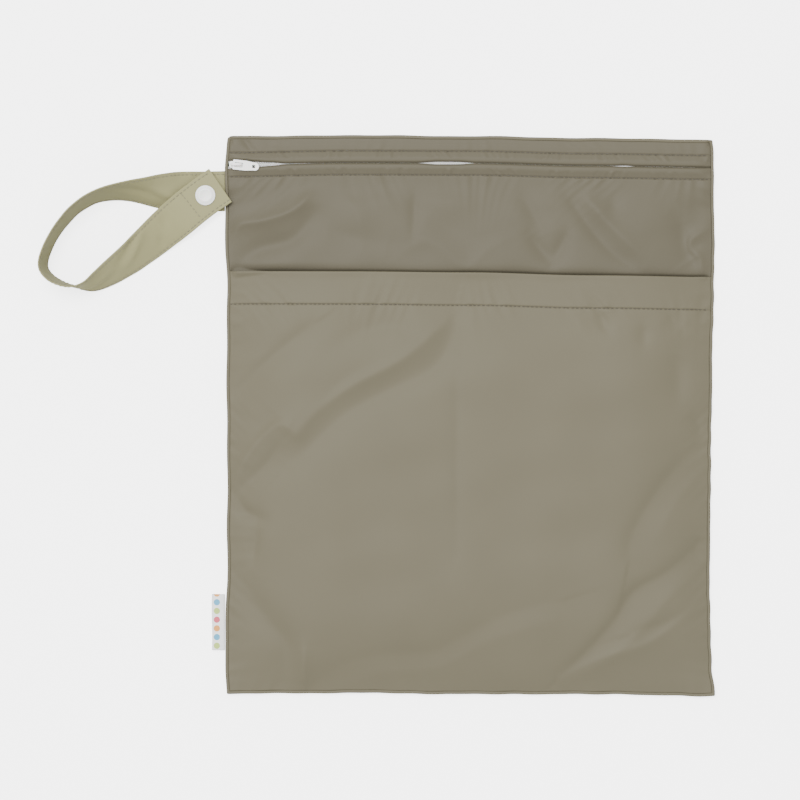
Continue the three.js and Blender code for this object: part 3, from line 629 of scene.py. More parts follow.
mouthRows = (-1.5, -0.8, -0.3, 0.0, 0.3, 0.6, 0.9, 1.3, 1.8, 2.4, 3.2)
stitchRows = (-1.1, -0.7, -0.4, -0.2, 0.0, 0.2, 0.4, 0.7, 1.1)
edgeRows = np.array([0.0, 0.3, 0.5, 0.65, 0.8, 1.0, 1.4, 2.0])


def pocketFloor(u):
    return bottomEdge(u) + edgeInset


def stripTop(u):
    return topEdge(u) - edgeInset


def lowerFlap(u):
    return slotLine(u) - slotHalf(u)


def upperFlap(u):
    return slotLine(u) + slotHalf(u)


def makePocket():
    # rows stand close together at the floor and at the hem's stitching
    floor = beside(pocketFloor, edgeRows)
    hem = beside(hemLine, stitchRows)
    body = between(floor[-1], hem[0], evenly(150, 75)[1:-1])
    turned = between(hem[-1], pocketEdge, evenly(26, 13)[1:])
    shares = crossing(255)
    return clothPanel("pocket_cloth", floor + body + hem + turned, shares, pocketUnder, pocketWall)


def makeFront():
    # rows stand close together at the pocket's mouth, the stitching and the slot
    hidden = between(pocketFloor, pocketEdge, np.linspace(0, 0.93, 30))
    mouth = beside(pocketEdge, mouthRows)
    covered = between(lambda u: pocketEdge(u) - 16, mouth[0], evenly(10)[:-1])
    shown = between(mouth[-1], fromSlot(-tapeEnd), evenly(50, 24)[1:])
    stitched = beside(fromSlot(-bag["stitchFromSlot"]), stitchRows)
    below = between(fromSlot(-tapeEnd), stitched[0], evenly(6)[1:-1])
    flap = between(stitched[-1], fromSlot(-overCoil), evenly(7)[1:])
    lip = between(fromSlot(-overCoil), lowerFlap, (0.35, 0.6, 0.75, 0.86, 0.94, 1.0))
    rows = hidden + covered + mouth + shown + below + stitched + flap + lip
    return clothPanel("front_cloth", rows, crossing(300), frontUnder, frontWall)


def makeStrip():
    # the same, from the slot up
    stitched = beside(fromSlot(bag["stitchFromSlot"]), stitchRows)
    upper = beside(stripTop, -edgeRows[::-1])
    lip = between(upperFlap, fromSlot(overCoil), (0.0, 0.06, 0.14, 0.25, 0.4, 0.65))
    flap = between(fromSlot(overCoil), stitched[0], evenly(7)[:-1])
    body = between(stitched[-1], upper[0], evenly(9)[1:-1])
    rows = lip + flap + stitched + body + upper
    return clothPanel("top_strip_cloth", rows, crossing(300), frontUnder, frontWall)


# the back panel's edge, rolled up and over the front panels' edges
rimSettings = {"steps": 260, "roll": 0.75, "wander": 0.12}


def lipUnder(x, y):
    # just above the pocket below its mouth, and just above the front past it
    onPocket = ease(pocketEdge(acrossAt(x)) - y, -1.2, 0.4)
    return mix(frontTop(x, y), pocketTop(x, y), onPocket) + bag["lipGap"]


# which way each corner of a rectangle lies, round from the lower left
cornerWays = [(-1, -1), (1, -1), (1, 1), (-1, 1)]


def outlineAt(inset, steps):
    # the bag's outline drawn in by a distance, round from the lower left corner
    inset = np.asarray(inset, float)
    arc = np.linspace(0, pi / 2, 7)
    share = np.linspace(0, 1, steps)[1:-1]
    corners = []
    for k, (sx, sy) in enumerate(cornerWays):
        hold = np.maximum(bag["cornerRadii"][k], inset + 0.25)
        bend = hold - inset
        edge = 0.0 if sx < 0 else 1.0
        line = bottomEdge(edge) if sy < 0 else topEdge(edge)
        x0 = (leftEdge(line) if sx < 0 else rightEdge(line)) - sx * hold
        y0 = line - sy * hold
        angle = pi + k * pi / 2 + arc
        corners.append(np.stack([x0 + bend * np.cos(angle), y0 + bend * np.sin(angle)], 1))
    sides = []
    for k in range(4):
        a, b = corners[k][-1], corners[(k + 1) % 4][0]
        if k % 2 == 0:
            x = mix(a[0], b[0], share)
            y = bottomEdge(share) + inset if k == 0 else topEdge(1 - share) - inset
        else:
            y = mix(a[1], b[1], share)
            x = rightEdge(y) - inset if k == 1 else leftEdge(y) + inset
        sides.append(np.stack([x, np.broadcast_to(y, x.shape)], 1))
    return np.vstack([part for k in range(4) for part in (corners[k], sides[k])])


def makeBack():
    # rings: inner floor, inner wall, the lip's underside and end, its rolled top, the outer wall
    steps = rimSettings["steps"]
    line = outlineAt(edgeInset, steps)
    lip = lipUnder(line[:, 0], line[:, 1])
    thick = bag["cloth"]
    wander = waves(line[:, 0], line[:, 1], 21, 6, 9, 40) * rimSettings["wander"]

    def ring(inset, height, drift=0.0):
        # drift is how much of the edge's wander this ring has
        xy = outlineAt(inset, steps)
        out = unit(xy - xy.mean(0))
        return np.column_stack([xy + out * wander[:, None] * drift, np.broadcast_to(height, len(xy))])

    width = bag["lipWidth"]
    roll = rimSettings["roll"]
    loops = [
        ring(thick, backTop),
        ring(thick, lip),
        ring(width - 0.1, lip, 1),
        ring(width, lip + 0.14, 1),
        ring(width - 0.01, lip + 0.34, 1),
        ring(width - 0.1, lip + 0.45, 1),
        ring(width * 0.7, lip + 0.52),
        ring(roll, lip + 0.53),
        ring(roll * 0.4, lip + 0.43),
        ring(0.06, lip + 0.16),
        ring(0.0, lip * 0.55),
        ring(0.0, 0.7),
        ring(0.2, 0.2),
        ring(0.7, 0.0),
    ]
    loops = np.asarray(loops)[::-1]
    return loopSkin("back_cloth", loops, uv=loops[:, :, :2] / 100)


pocketPiece = makePocket()
frontPiece = makeFront()
stripPiece = makeStrip()
backPiece = makeBack()
print("cloth panels made")

# the zip: coil, tapes, slider and pull
def nodeBox(node):
    # a solid's two corners, in mm
    low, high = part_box(node)
    return np.array(low) / mm, np.array(high) / mm


def makeCoil():
    # each half is a flattened helix beside the slot line: the two halves' turns lock in the middle
    low, high = nodeBox("zipper_coil")
    start, end = low[0], high[0]
    turns = int((end - start) / zipSizes["pitch"])
    perTurn = 12
    t = np.linspace(0, turns, turns * perTurn + 1)
    half = zipSizes["coilWidth"] / 2
    wire = zipSizes["wire"]
    middle = coilBottom + zipSizes["coilTall"] / 2
    tall = zipSizes["coilTall"] / 2 - wire
    pieces = []
    for sign in (-1, 1):
        phase = 2 * pi * t + (0 if sign > 0 else pi)
        x = start + wire + (end - start - 2 * wire) * t / turns
        reach = half - wire
        y = slotLine(acrossAt(x)) + sign * (reach * 0.44 + reach * 0.54 * np.cos(phase))
        z = middle + tall * np.sin(phase)
        path = np.stack([x, y, z], 1)
        rings = tubeRings(path, wire, 5)
        pieces.append(loopSkin(f"coil_half_{'upper' if sign > 0 else 'lower'}", rings))
    return joined("zip_coil", pieces)


def tubeRings(path, radius, sides):
    # a round section carried along the path, kept upright by the world's up
    ahead = unit(np.gradient(path, axis=0))
    side = unit(np.cross(ahead, (0.02, 0.03, 1.0)))
    up = np.cross(side, ahead)
    angle = np.arange(sides) * 2 * pi / sides
    across = np.cos(angle)[None, :, None] * side[:, None] + np.sin(angle)[None, :, None] * up[:, None]
    radius = np.broadcast_to(radius, len(path))[:, None, None]
    return path[:, None] + across * radius


def joined(name, pieces):
    # several objects as one, their meshes laid together
    bpy.ops.object.select_all(action="DESELECT")
    for piece in pieces:
        piece.select_set(True)
    bpy.context.view_layer.objects.active = pieces[0]
    bpy.ops.object.join()
    pieces[0].name = name
    pieces[0].data.name = name
    return pieces[0]


def roundedOutline(length, width, corner, steps=5):
    # a rectangle with quarter-round corners, anticlockwise
    arc = np.linspace(0, pi / 2, steps)
    points = []
    for k, (sx, sy) in enumerate(cornerWays):
        angle = pi + k * pi / 2 + arc
        x = sx * (length / 2 - corner) + corner * np.cos(angle)
        y = sy * (width / 2 - corner) + corner * np.sin(angle)
        points.append(np.stack([x, y], 1))
    return np.vstack(points)


def softPlate(name, outline, low, high, bevel):
    # an outline raised from low to high, its upper and lower edges rounded off by bevel
    middle = outline.mean(0)
    ahead = np.roll(outline, -1, 0) - np.roll(outline, 1, 0)
    out = unit(np.stack([ahead[:, 1], -ahead[:, 0]], 1))
    rings = []
    angles = np.linspace(0, pi / 2, 4)
    for height, way in ((low, 1), (high, -1)):
        for a in angles[::way]:
            drawn = outline - out * bevel * (1 - np.sin(a))
            rings.append((drawn, height + way * bevel * (1 - np.cos(a))))
    inner = middle + (outline - middle) * 0.45
    rings = [(inner, low)] + rings + [(inner, high)]
    loops = [np.column_stack([xy, np.full(len(xy), z)]) for xy, z in rings]
    return loopSkin(name, loops[::-1])


def moved(piece, x, y, z, turn=0.0):
    # moves the mesh itself, in mm, after a turn about the upright
    count = len(piece.data.vertices)
    points = np.zeros(count * 3)
    piece.data.vertices.foreach_get("co", points)
    points = points.reshape(-1, 3)
    c, s = np.cos(turn), np.sin(turn)
    across, up, high = points.T
    spun = np.column_stack([across * c - up * s, across * s + up * c, high]) + np.array([x, y, z]) * mm
    piece.data.vertices.foreach_set("co", spun.ravel())
    piece.data.update()
    return piece


slider = {
    "topWidth": 4.5,
    "corner": 1.2,
    "postWidth": 1.4,
    "postLength": 3.0,
    "bailWidth": 1.5,
    "bailThickness": 0.8,
    "bailInset": 0.9,
}


def makeSlider():
    # two plates with a post between them, and the bail over the upper one
    low, high = nodeBox("slider_body")
    length, width = high[0] - low[0], high[1] - low[1]
    middle = (low[:2] + high[:2]) / 2
    plate = zipSizes["plate"]
    foot = roundedOutline(length, width, slider["corner"])
    under = softPlate("slider_under", foot, low[2], low[2] + plate, 0.18)
    crown = flapBottom + plate
    shoulders = roundedOutline(length, slider["topWidth"], slider["corner"], 7)
    shoulders[:, 1] *= 0.86 + 0.14 * ease(shoulders[:, 0], -length / 2, -length / 4)
    top = softPlate("slider_top", shoulders, flapBottom, crown, 0.24)
    stem = roundedOutline(slider["postLength"], slider["postWidth"], 0.5)
    post = softPlate("slider_post", stem, low[2] + plate - 0.1, flapBottom + 0.1, 0.02)
    # the bail is a flat bar bent up over the plate, its profile carried along an arch
    feet = length / 2 - slider["bailInset"] - slider["bailThickness"] / 2
    lowest = crown - 0.3
    peak = high[2] - slider["bailThickness"] / 2
    t = np.linspace(0, 1, 33)
    x = -feet * np.cos(pi * t)
    x = feet * np.sign(x) * np.abs(x / feet) ** 0.55
    z = lowest + (peak - lowest) * np.sin(pi * t) ** 0.42
    path = np.stack([x, np.zeros_like(x), z], 1)
    ahead = unit(np.gradient(path, axis=0))
    side = np.tile([0.0, 1.0, 0.0], (len(path), 1))
    up = np.cross(ahead, side)
    section = roundedOutline(slider["bailWidth"], slider["bailThickness"], 0.22, 4)
    flare = (1 + 0.25 * np.abs(np.cos(pi * t)) ** 6)[:, None, None]
    rings = path[:, None] + side[:, None] * section[None, :, :1] * flare
    rings = rings + up[:, None] * section[None, :, 1:]
    bail = loopSkin("slider_bail", rings[::-1])
    piece = joined("zip_slider", [top, under, post, bail])
    return moved(piece, middle[0], middle[1], 0)


pullSettings = {
    "length": 16.3,
    "thickness": 1.0,
    "heel": 6.2,
    "toe": 4.9,
    "bar": 1.1,
    "window": 5.2,
    "windowHalf": 1.45,
    "eye": 1.9,                # the square eye near the toe
    "eyeInset": 3.3,
    "yaw": radians(-6),
}


def curvePlate(name, outlines, thickness, bevel):
    # a flat curve with holes, thickened and bevelled, then made a mesh
    curve = bpy.data.curves.new(name, "CURVE")
    curve.dimensions = "2D"
    curve.fill_mode = "BOTH"
    curve.extrude = (thickness / 2 - bevel) * mm
    curve.bevel_depth = bevel * mm
    curve.offset = -bevel * mm
    curve.bevel_resolution = 3
    for outline in outlines:
        spline = curve.splines.new("POLY")
        spline.points.add(len(outline) - 1)
        flat = np.column_stack([outline * mm, np.zeros(len(outline)), np.ones(len(outline))])
        spline.points.foreach_set("co", flat.ravel())
        spline.use_cyclic_u = True
    holder = newObject(name, curve)
    bpy.context.view_layer.update()
    graph = bpy.context.evaluated_depsgraph_get()
    mesh = bpy.data.meshes.new_from_object(holder.evaluated_get(graph))
    bpy.data.objects.remove(holder)
    bpy.data.curves.remove(curve)
    mesh.name = name
    piece = newObject(name, mesh)
    tidyMesh(piece)
    return piece


def tidyMesh(piece):
    # doubles merged, faces turned outwards
    work = bmesh.new()
    work.from_mesh(piece.data)
    bmesh.ops.remove_doubles(work, verts=work.verts, dist=1e-7)
    bmesh.ops.recalc_face_normals(work, faces=work.faces)
    work.to_mesh(piece.data)
    work.free()
    piece.data.update()


def makePull():
    # a tapered plate with a round toe, a window for the bail and a square eye
    s = pullSettings
    pivot = np.array(frame["joints"][0]["pos_m"]) / mm
    heel, toe = s["heel"] / 2, s["toe"] / 2
    start = -s["bar"] / 2
    end = start + s["length"]
    arc = np.linspace(-pi / 2, pi / 2, 15)
    straight = start + s["window"] + 2 * s["bar"]
    # heel corners, a slow taper, then the round toe
    taper = np.linspace(0, 1, 8)[:, None]
    lowSide = np.hstack([mix(straight, end - toe, taper), -mix(heel, toe, ease(taper, 0, 1))])
    highSide = lowSide[::-1] * (1, -1)
    toeRound = np.stack([end - toe + toe * np.cos(arc), toe * np.sin(arc)], 1)[1:-1]
    heelLow = np.array([(start, -heel + 0.6), (start + 0.18, -heel + 0.18), (start + 0.6, -heel)])
    heelHigh = heelLow[::-1] * (1, -1)
    outline = np.vstack([heelLow, lowSide, toeRound, highSide, heelHigh])
    window = roundedOutline(s["window"], 2 * s["windowHalf"], 0.5)[::-1]
    window = window + (start + s["bar"] + s["window"] / 2, 0)
    eye = roundedOutline(s["eye"], s["eye"], 0.35)[::-1] + (end - s["eyeInset"], 0)
    plate = curvePlate("pull_plate", [outline, window, eye], s["thickness"], 0.2)
    return moved(plate, *pivot, s["yaw"])


# the press stud: round pieces turned about the upright
def turned(name, profile, x, y, z, sides=64):
    # the profile's radius and height are carried round a circle
    profile = np.asarray(profile, float)
    angle = np.arange(sides) * 2 * pi / sides
    rings = np.stack([
        x + profile[:, :1] * np.cos(angle),
        y + profile[:, :1] * np.sin(angle),
        z + np.broadcast_to(profile[:, 1:], (len(profile), sides)),
    ], -1)
    return loopSkin(name, rings[::-1])


def roundSizes(node):
    # a round solid's middle, foot, radius and height
    low, high = nodeBox(node)
    x, y = (low[:2] + high[:2]) / 2
    return x, y, low[2], (high[0] - low[0]) / 2, high[2] - low[2]


def makeSnap():
    # each profile is a list of radius and height, from the middle of its foot to that of its top
    x, y, foot, r, h = roundSizes("snap_cap")
    t = np.linspace(0, pi / 2, 7)
    edge = [(r - 0.5 + 0.5 * np.sin(a), 0.5 - 0.5 * np.cos(a)) for a in t]
    crown = [(r - 0.75 + 0.75 * np.cos(a), 0.5 + (h * 0.62 - 0.5) * np.sin(a)) for a in t]
    # a low ring round a shallow dished middle
    dish = [(0.80 * r, 0.74 * h), (0.72 * r, 0.92 * h), (0.64 * r, h), (0.55 * r, 0.985 * h),
            (0.46 * r, 0.93 * h), (0.3 * r, 0.88 * h), (0.14 * r, 0.86 * h), (0.02, 0.855 * h)]
    cap = turned("snap_cap_white", [(0.02, 0), (r - 0.6, 0)] + edge + crown + dish, x, y, foot)
    _, _, foot, r, h = roundSizes("snap_back_cap")
    back = [(0.02, 0), (0.62 * r, 0), (0.8 * r, 0.06 * h), (0.93 * r, 0.25 * h), (r, 0.5 * h),
            (r - 0.12, 0.85 * h), (r - 0.35, h), (0.02, h)]
    backCap = turned("snap_back_cap_white", back, x, y, foot)
    _, _, foot, r, h = roundSizes("snap_post")
    post = [(0.02, 0), (r - 0.2, 0), (r, 0.08 * h), (r, 0.4 * h), (0.96 * r, 0.45 * h),
            (0.62 * r, 0.47 * h), (0.6 * r, 0.58 * h), (0.96 * r, 0.6 * h), (r, 0.64 * h),
            (r, 0.92 * h), (r - 0.2, h), (0.02, h)]
    stud = turned("snap_post_white", post, x, y, foot)
    return cap, backCap, stud


# the strap: a flat band turned about its own line as it goes round, its rows the solid's
strapSettings = {
    "width": 25.0,
    "thickness": 1.2,
    "fromTop": 33.6,
    "seamGap": 0.05,
    "reach": 112.0,
    "drop": 59.5,
    "edgeStitch": 2.0,         # in from each long edge
    "pitch": 2.8,              # of its stitches
    "hem": 22.7,               # the end hem's stitching, back from the end
    "steps": 560,              # along the band
}

# across and down: shares of reach and drop from the seam; turn: degrees about the band's own line;
# rest: the height of its lowest edge, as a share of the snap's stack
strapTable = {
    "across": [0, 0.095, 0.18, 0.281, 0.402, 0.526, 0.633, 0.726, 0.819, 0.892, 0.943, 0.978, 0.998,
               0.992, 0.953, 0.895, 0.835, 0.785, 0.732, 0.669, 0.595, 0.515, 0.418, 0.324, 0.254,
               0.183, 0.104, 0.023],
    "down": [0, 0.004, 0.006, 0.008, 0.011, 0.009, 0.03, 0.083, 0.194, 0.343, 0.481, 0.615, 0.741,
             0.83, 0.914, 0.971, 0.998, 1.004, 0.981, 0.911, 0.813, 0.7, 0.543, 0.389, 0.277, 0.164,
             0.05, -0.055],
    "turn": [0, 0, 0, 17, 47, 65, 73, 78, 81, 82, 83, 83, 83, 82, 82, 83, 87, 95, 107, 119, 127, 134,
             145, 160, 170, 180, 180, 180],
    "rest": [0.254, 0.254, 0.254, 0.2, 0.03, 0, 0, 0, 0, 0, 0, 0, 0, 0, 0, 0, 0, 0, 0, 0, 0, 0.01,
             0.06, 0.44, 0.84, 1, 1, 1],
}

# creases of the band: two ends as mm back from the band's end and across it, the width, and how
# far they rise towards the band's face, which looks down in the front run
strapCreases = [
    ((56, -9), (78, 3), 2.2, -1.3),
    ((60, -11), (82, -2), 2.4, 1.2),
    ((48, 1), (53, 9), 2.6, 0.9),
    ((84, -3), (112, 4), 2.4, -0.9),
    ((86, 3), (116, 8), 2.2, 0.8),
    ((36, -8), (44, -1), 3.0, 0.6),
    ((205, -6), (232, 4), 3.0, -0.9),
    ((228, -2), (246, 7), 2.6, 0.8),
]


def strapRelief(run, across):
    # each crease is a smooth hump round a straight line
    relief = np.zeros_like(run)
    back = run.max() - run
    for (r0, a0), (r1, a1), wide, high in strapCreases:
        length2 = (r1 - r0) ** 2 + (a1 - a0) ** 2
        share = ((back - r0) * (r1 - r0) + (across - a0) * (a1 - a0)) / length2
        held = np.clip(share, 0, 1)
        away2 = (back - r0 - held * (r1 - r0)) ** 2 + (across - a0 - held * (a1 - a0)) ** 2
        relief += high * np.exp(-away2 / wide**2) * np.sin(pi * (0.1 + 0.8 * held))
    return relief


def runAlong(path):
    # how far along a path each of its points lies
    return np.concatenate([[0], np.cumsum(np.linalg.norm(np.diff(path, axis=0), axis=1))])


def strapFrames(count):
    # where the band's middle is, which way it runs, and which ways its width and face look
    s = strapSettings
    snapStack = nodeBox("snap_cap")[0][2] - bag["gap"] - s["thickness"]
    y0 = bag["height"] / 2 - s["fromTop"]
    x0 = leftEdge(y0) - s["seamGap"]
    across, down = np.array(strapTable["across"]), np.array(strapTable["down"])
    rows = np.column_stack([x0 - across * s["reach"], y0 - down * s["drop"]])
    path = smoothPath(rows, count)
    at = np.linspace(0, len(rows) - 1, count)
    index = {"index": np.arange(len(rows)), **strapTable}
    turn = np.radians(readTable(index, "index", "turn", at))
    rest = snapStack * readTable(index, "index", "rest", at)
    reach = max(4, count // 28)
    soft = np.ones(2 * reach + 1) / (2 * reach + 1)
    pad = lambda v: np.concatenate([np.full(reach, v[0]), v, np.full(reach, v[-1])])
    turn = np.convolve(pad(turn), soft, "valid")
    ahead = unit(np.gradient(path, axis=0))
    ahead[0] = (-1, 0)
    left = np.column_stack([-ahead[:, 1], ahead[:, 0], np.zeros(count)])
    up = np.array([0, 0, 1.0])
    c, sn = np.cos(turn)[:, None], np.sin(turn)[:, None]
    width = left * c - up * sn
    face = up * c + left * sn
    lowest = s["width"] / 2 * np.abs(sn[:, 0]) + s["thickness"] / 2 * np.abs(c[:, 0])
    middle = np.column_stack([path, rest + lowest])
    return middle, width, face, runAlong(middle)


def strapSection():
    # half the band's outline: puffy between the two lines of edge stitching, round at the edges
    s = strapSettings
    half, thick = s["width"] / 2, s["thickness"] / 2
    stitch = half - s["edgeStitch"]
    near = np.array([-half, -half + 0.12, -half + 0.4, -half + 0.9, -stitch, -stitch + 1, -stitch + 2.5])
    across = np.concatenate([near, np.linspace(-stitch + 4.5, stitch - 4.5, 7), -near[::-1]])
    puff = 0.86 - 0.28 * np.exp(-((np.abs(across) - stitch) / 0.7) ** 2)
    puff = puff + 0.14 * (1 - (across / half) ** 2)
    edgeRound = np.sqrt(np.clip(1 - ((np.abs(across) - half + 0.55) / 0.55).clip(0) ** 2, 0.0, 1))
    return across, thick * puff * edgeRound


def makeStrap():
    # the section carried along the band's line, both its faces moved by the ripple and the creases
    middle, width, face, run = strapFrames(strapSettings["steps"])
    across, thick = strapSection()
    alongGrid, acrossGrid = np.meshgrid(run, across, indexing="ij")
    ripple = waves(alongGrid, acrossGrid, 31, 6, 9, 40) * 0.16
    ripple = ripple * np.exp(-((np.abs(across) - 10.5) / 6.0) ** 2)
    ripple = ripple + strapRelief(alongGrid, acrossGrid) * ease(12.2 - np.abs(across), 0, 3)
    flat = middle[:, None] + width[:, None] * across[None, :, None]
    top = flat + face[:, None] * (thick + ripple)[:, :, None]
    under = flat - face[:, None] * (thick - ripple)[:, :, None]
    rings = np.concatenate([under[:, 1:-1], top[:, ::-1]], axis=1)
    girth = np.concatenate([across[1:-1], across[::-1]])
    uv = np.stack(np.meshgrid(run, girth, indexing="ij"), -1) / 100
    return loopSkin("strap_cloth", rings, uv=uv)


# the label: a satin tape folded double, its ends in the left seam
labelSettings = {"layer": 0.5, "droop": 0.9, "rows": 60}


def makeLabel():
    # a section in X and Z carried along Y, bowed, and drooping towards its fold
    low, high = nodeBox("label")
    reach, length, height = high - low
    middle = (low[2] + high[2]) / 2
    half = height / 2
    layer = labelSettings["layer"]
    # the tape's middle line in X and Z: in along the top, round the fold, back along the bottom
    bend = half - layer / 2
    arc = np.linspace(pi / 2, 3 * pi / 2, 11)
    flat = reach - half
    s = np.linspace(0, 1, 10)
    line = np.vstack([
        np.column_stack([-s * flat, np.full(10, bend)]),
        np.column_stack([-flat + bend * np.cos(arc), bend * np.sin(arc)])[1:-1],
        np.column_stack([-flat + s * flat, np.full(10, -bend)]),
    ])
    ahead = np.gradient(line, axis=0)
    normal = unit(np.column_stack([-ahead[:, 1], ahead[:, 0]]))
    outer, inner = line - normal * layer / 2, line + normal * layer / 2
    section = np.vstack([outer, inner[::-1]])
    y = np.linspace(0, length, labelSettings["rows"])
    bow = 0.25 * np.sin(pi * y / length) - 0.2 * np.cos(2 * pi * y / length)
    x = high[0] + section[None, :, 0] * (1 - 0.02 * np.sin(2 * pi * y / length))[:, None]
    hang = 0.5 * (section[:, 0] / reach) ** 2
    z = middle + section[None, :, 1] + (bow[:, None] - labelSettings["droop"]) * hang[None, :]
    rings = np.stack([x, np.broadcast_to((low[1] + y)[:, None], x.shape), z], -1)
    uv = np.stack([x - high[0], np.broadcast_to(y[:, None], x.shape)], -1) / 100
    return loopSkin("label_tape", rings[::-1], uv=uv[::-1])


# stitches: one short arched thread, laid many times along a line on the cloth
stitchSettings = {
    "pitch": 2.75,
    "length": 2.0,
    "radius": 0.22,
    "arch": 0.34,              # how high the thread stands
    "sunk": 0.04,              # how deep its ends lie
    "sides": 6,
    "rings": 6,
}


def layStitches(name, path, normals, pitch=stitchSettings["pitch"]):
    # path and normals in mm; every stitch is a parabola that sinks into the cloth at both its ends
    s = stitchSettings
    run = runAlong(path)
    centres = np.arange(pitch / 2, run[-1] - pitch / 3, pitch)
    rng = np.random.default_rng(len(path) + int(run[-1] * 10))
    centres = centres + rng.uniform(-0.12, 0.12, len(centres)) * pitch
    pick = lambda values, at: np.stack([np.interp(at, run, column) for column in values.T], -1)
    along = np.linspace(-0.5, 0.5, s["rings"])
    length = s["length"] * pitch / s["pitch"]
    spots = centres[:, None] + along[None, :] * length
    line = pick(path, spots)
    normal = unit(pick(normals, centres))
    side = np.cross(normal, unit(pick(path, centres + 0.4) - pick(path, centres - 0.4)))
    arch = (1 - (2 * along) ** 2) * s["arch"] - s["sunk"]
    line = line + normal[:, None] * arch[None, :, None]
    angle = np.arange(s["sides"]) * 2 * pi / s["sides"]
    thin = s["radius"] * np.sqrt(np.clip(1 - (1.88 * along) ** 6, 0.05, 1))
    ring = np.cos(angle)[:, None] * side[:, None] + np.sin(angle)[:, None] * normal[:, None]
    points = line[:, :, None] + ring[:, None] * thin[:, None, None]
    count, rings, sides = points.shape[:3]
    faces = gridFaces(rings, sides, wrap=True)
    ends = [np.arange(sides)[::-1], (rings - 1) * sides + np.arange(sides)]
    starts = np.arange(count)[:, None] * rings * sides
    quads = (faces[None] + starts[:, :, None]).reshape(-1, 4)
    caps = np.concatenate([end[None] + starts for end in ends])
    return meshObject(name, points.reshape(-1, 3), quads.tolist() + caps.tolist())


def surfaceNormals(height, x, y):
    # the upward normal of a height over x and y
    step = 0.4
    dx = (height(x + step, y) - height(x - step, y)) / (2 * step)
    dy = (height(x, y + step) - height(x, y - step)) / (2 * step)
    return unit(np.stack([-dx, -dy, np.ones_like(dx)], -1))


seamStart = 0.006              # the stitch lines' end, as a share of the width
seamWobble = 0.1               # mm
stitchPoints = 420             # along a path of stitches


def seamLine(name, line, height):
    # stitches along a line across the bag, on top of a height
    u = np.linspace(seamStart, 1 - seamStart, stitchPoints)
    x = (u - 0.5) * bag["width"]
    y = line(u) + seamWobble * waves(x, 0 * x, 41, 4, 30, 120)
    path = np.column_stack([x, y, height(x, y)])
    return layStitches(name, path, surfaceNormals(height, x, y))


def strapStitches():
    # both edges and the end's hem, on both faces of the band
    middle, width, face, run = strapFrames(stitchPoints)
    half = strapSettings["width"] / 2 - strapSettings["edgeStitch"]
    thick = strapSettings["thickness"] / 2 * 0.62
    pitch = strapSettings["pitch"]
    pieces = []
    for side in (-1, 1):
        for way in (-1, 1):
            path = middle + width * side * half + face * way * thick
            pieces.append(layStitches(f"edge_{side}_{way}", path, face * way, pitch))
    at = np.searchsorted(run, run[-1] - strapSettings["hem"])
    spread = np.linspace(-half, half, 30)[:, None]
    for way in (-1, 1):
        path = middle[at] + width[at] * spread + face[at] * way * (thick + 0.12)
        pieces.append(layStitches(f"hem_{way}", path, np.tile(face[at] * way, (30, 1)), pitch))
    return joined("strap_stitches", pieces)


coilPiece = makeCoil()
sliderPiece = makeSlider()
pullPiece = makePull()
capPiece, backCapPiece, postPiece = makeSnap()
strapPiece = makeStrap()
labelPiece = makeLabel()
print("zip, snap, strap and label made")

away = bag["stitchFromSlot"]
zipStitches = joined("zip_stitches", [
    seamLine("upper_line", fromSlot(away), frontTop),
    seamLine("lower_line", fromSlot(-away), frontTop),
])
hemStitches = seamLine("hem_stitches", hemLine, pocketTop)
strapThread = strapStitches()
print("stitching made")

# materials
clothLook = {
    "pocket": (0.122, 0.110, 0.074),
    # the front and top strip: the pocket's own knit made darker, painted shade on the upper part of the
    # bag
    "upper": (0.098, 0.088, 0.061),
    "strap": (0.275, 0.262, 0.138),
    "roughness": 0.5,
    "gloss": 0.13,
    "strapGloss": 0.03,
    "sheen": 0.0,
    "knitPitch": 0.8,          # mm from one rib of the knit to the next
    "knitDepth": 0.03,         # mm
    "mottle": 0.035,           # how far the colour wanders, as a share
}


def newMaterial(name, colour, roughness, **sockets):
    # a material with its colour and roughness set, its node tree and its shader
    material = bpy.data.materials.new(name)
    material.use_nodes = True
    shader = material.node_tree.nodes["Principled BSDF"]
    shader.inputs["Base Color"].default_value = (*colour, 1)
    shader.inputs["Roughness"].default_value = roughness
    for key, value in sockets.items():
        shader.inputs[key.replace("_", " ")].default_value = value
    material.diffuse_color = (*colour, 1)
    return material, material.node_tree, shader


def addNode(tree, kind, settings=None, **inputs):
    # inputs that are sockets are linked, the others are set
    node = tree.nodes.new(kind)
    for key, value in (settings or {}).items():
        setattr(node, key, value)
    for key, value in inputs.items():
        socket = node.inputs[key.replace("_", " ")]
        if isinstance(value, bpy.types.NodeSocket):
            tree.links.new(value, socket)
        else:
            socket.default_value = value
    return node


def mathNode(tree, operation, *values):
    # values that are sockets are linked, the others are set
    node = tree.nodes.new("ShaderNodeMath")
    node.operation = operation
    for socket, value in zip(node.inputs, values):
        if isinstance(value, bpy.types.NodeSocket):
            tree.links.new(value, socket)
        else:
            socket.default_value = value
    return node.outputs[0]


def addBump(tree, shader, height, strength, depth):
    # the height, as a bump of so many mm
    bump = addNode(tree, "ShaderNodeBump", Height=height, Strength=strength, Distance=depth * mm)
    tree.links.new(bump.outputs["Normal"], shader.inputs["Normal"])


def objectPlace(tree):
    return addNode(tree, "ShaderNodeTexCoord").outputs["Object"]


def mottled(tree, shader, colour, where, scale, share):
    # the colour wanders a little, darker and lighter than itself
    noise = addNode(tree, "ShaderNodeTexNoise", Vector=where, Scale=scale, Detail=3.0)
    blend = addNode(tree, "ShaderNodeMix", {"data_type": "RGBA"}, Factor=noise.outputs["Fac"])
    blend.inputs["A"].default_value = (*[c * (1 - share) for c in colour], 1)
    blend.inputs["B"].default_value = (*[c * (1 + share) for c in colour], 1)
    tree.links.new(blend.outputs["Result"], shader.inputs["Base Color"])


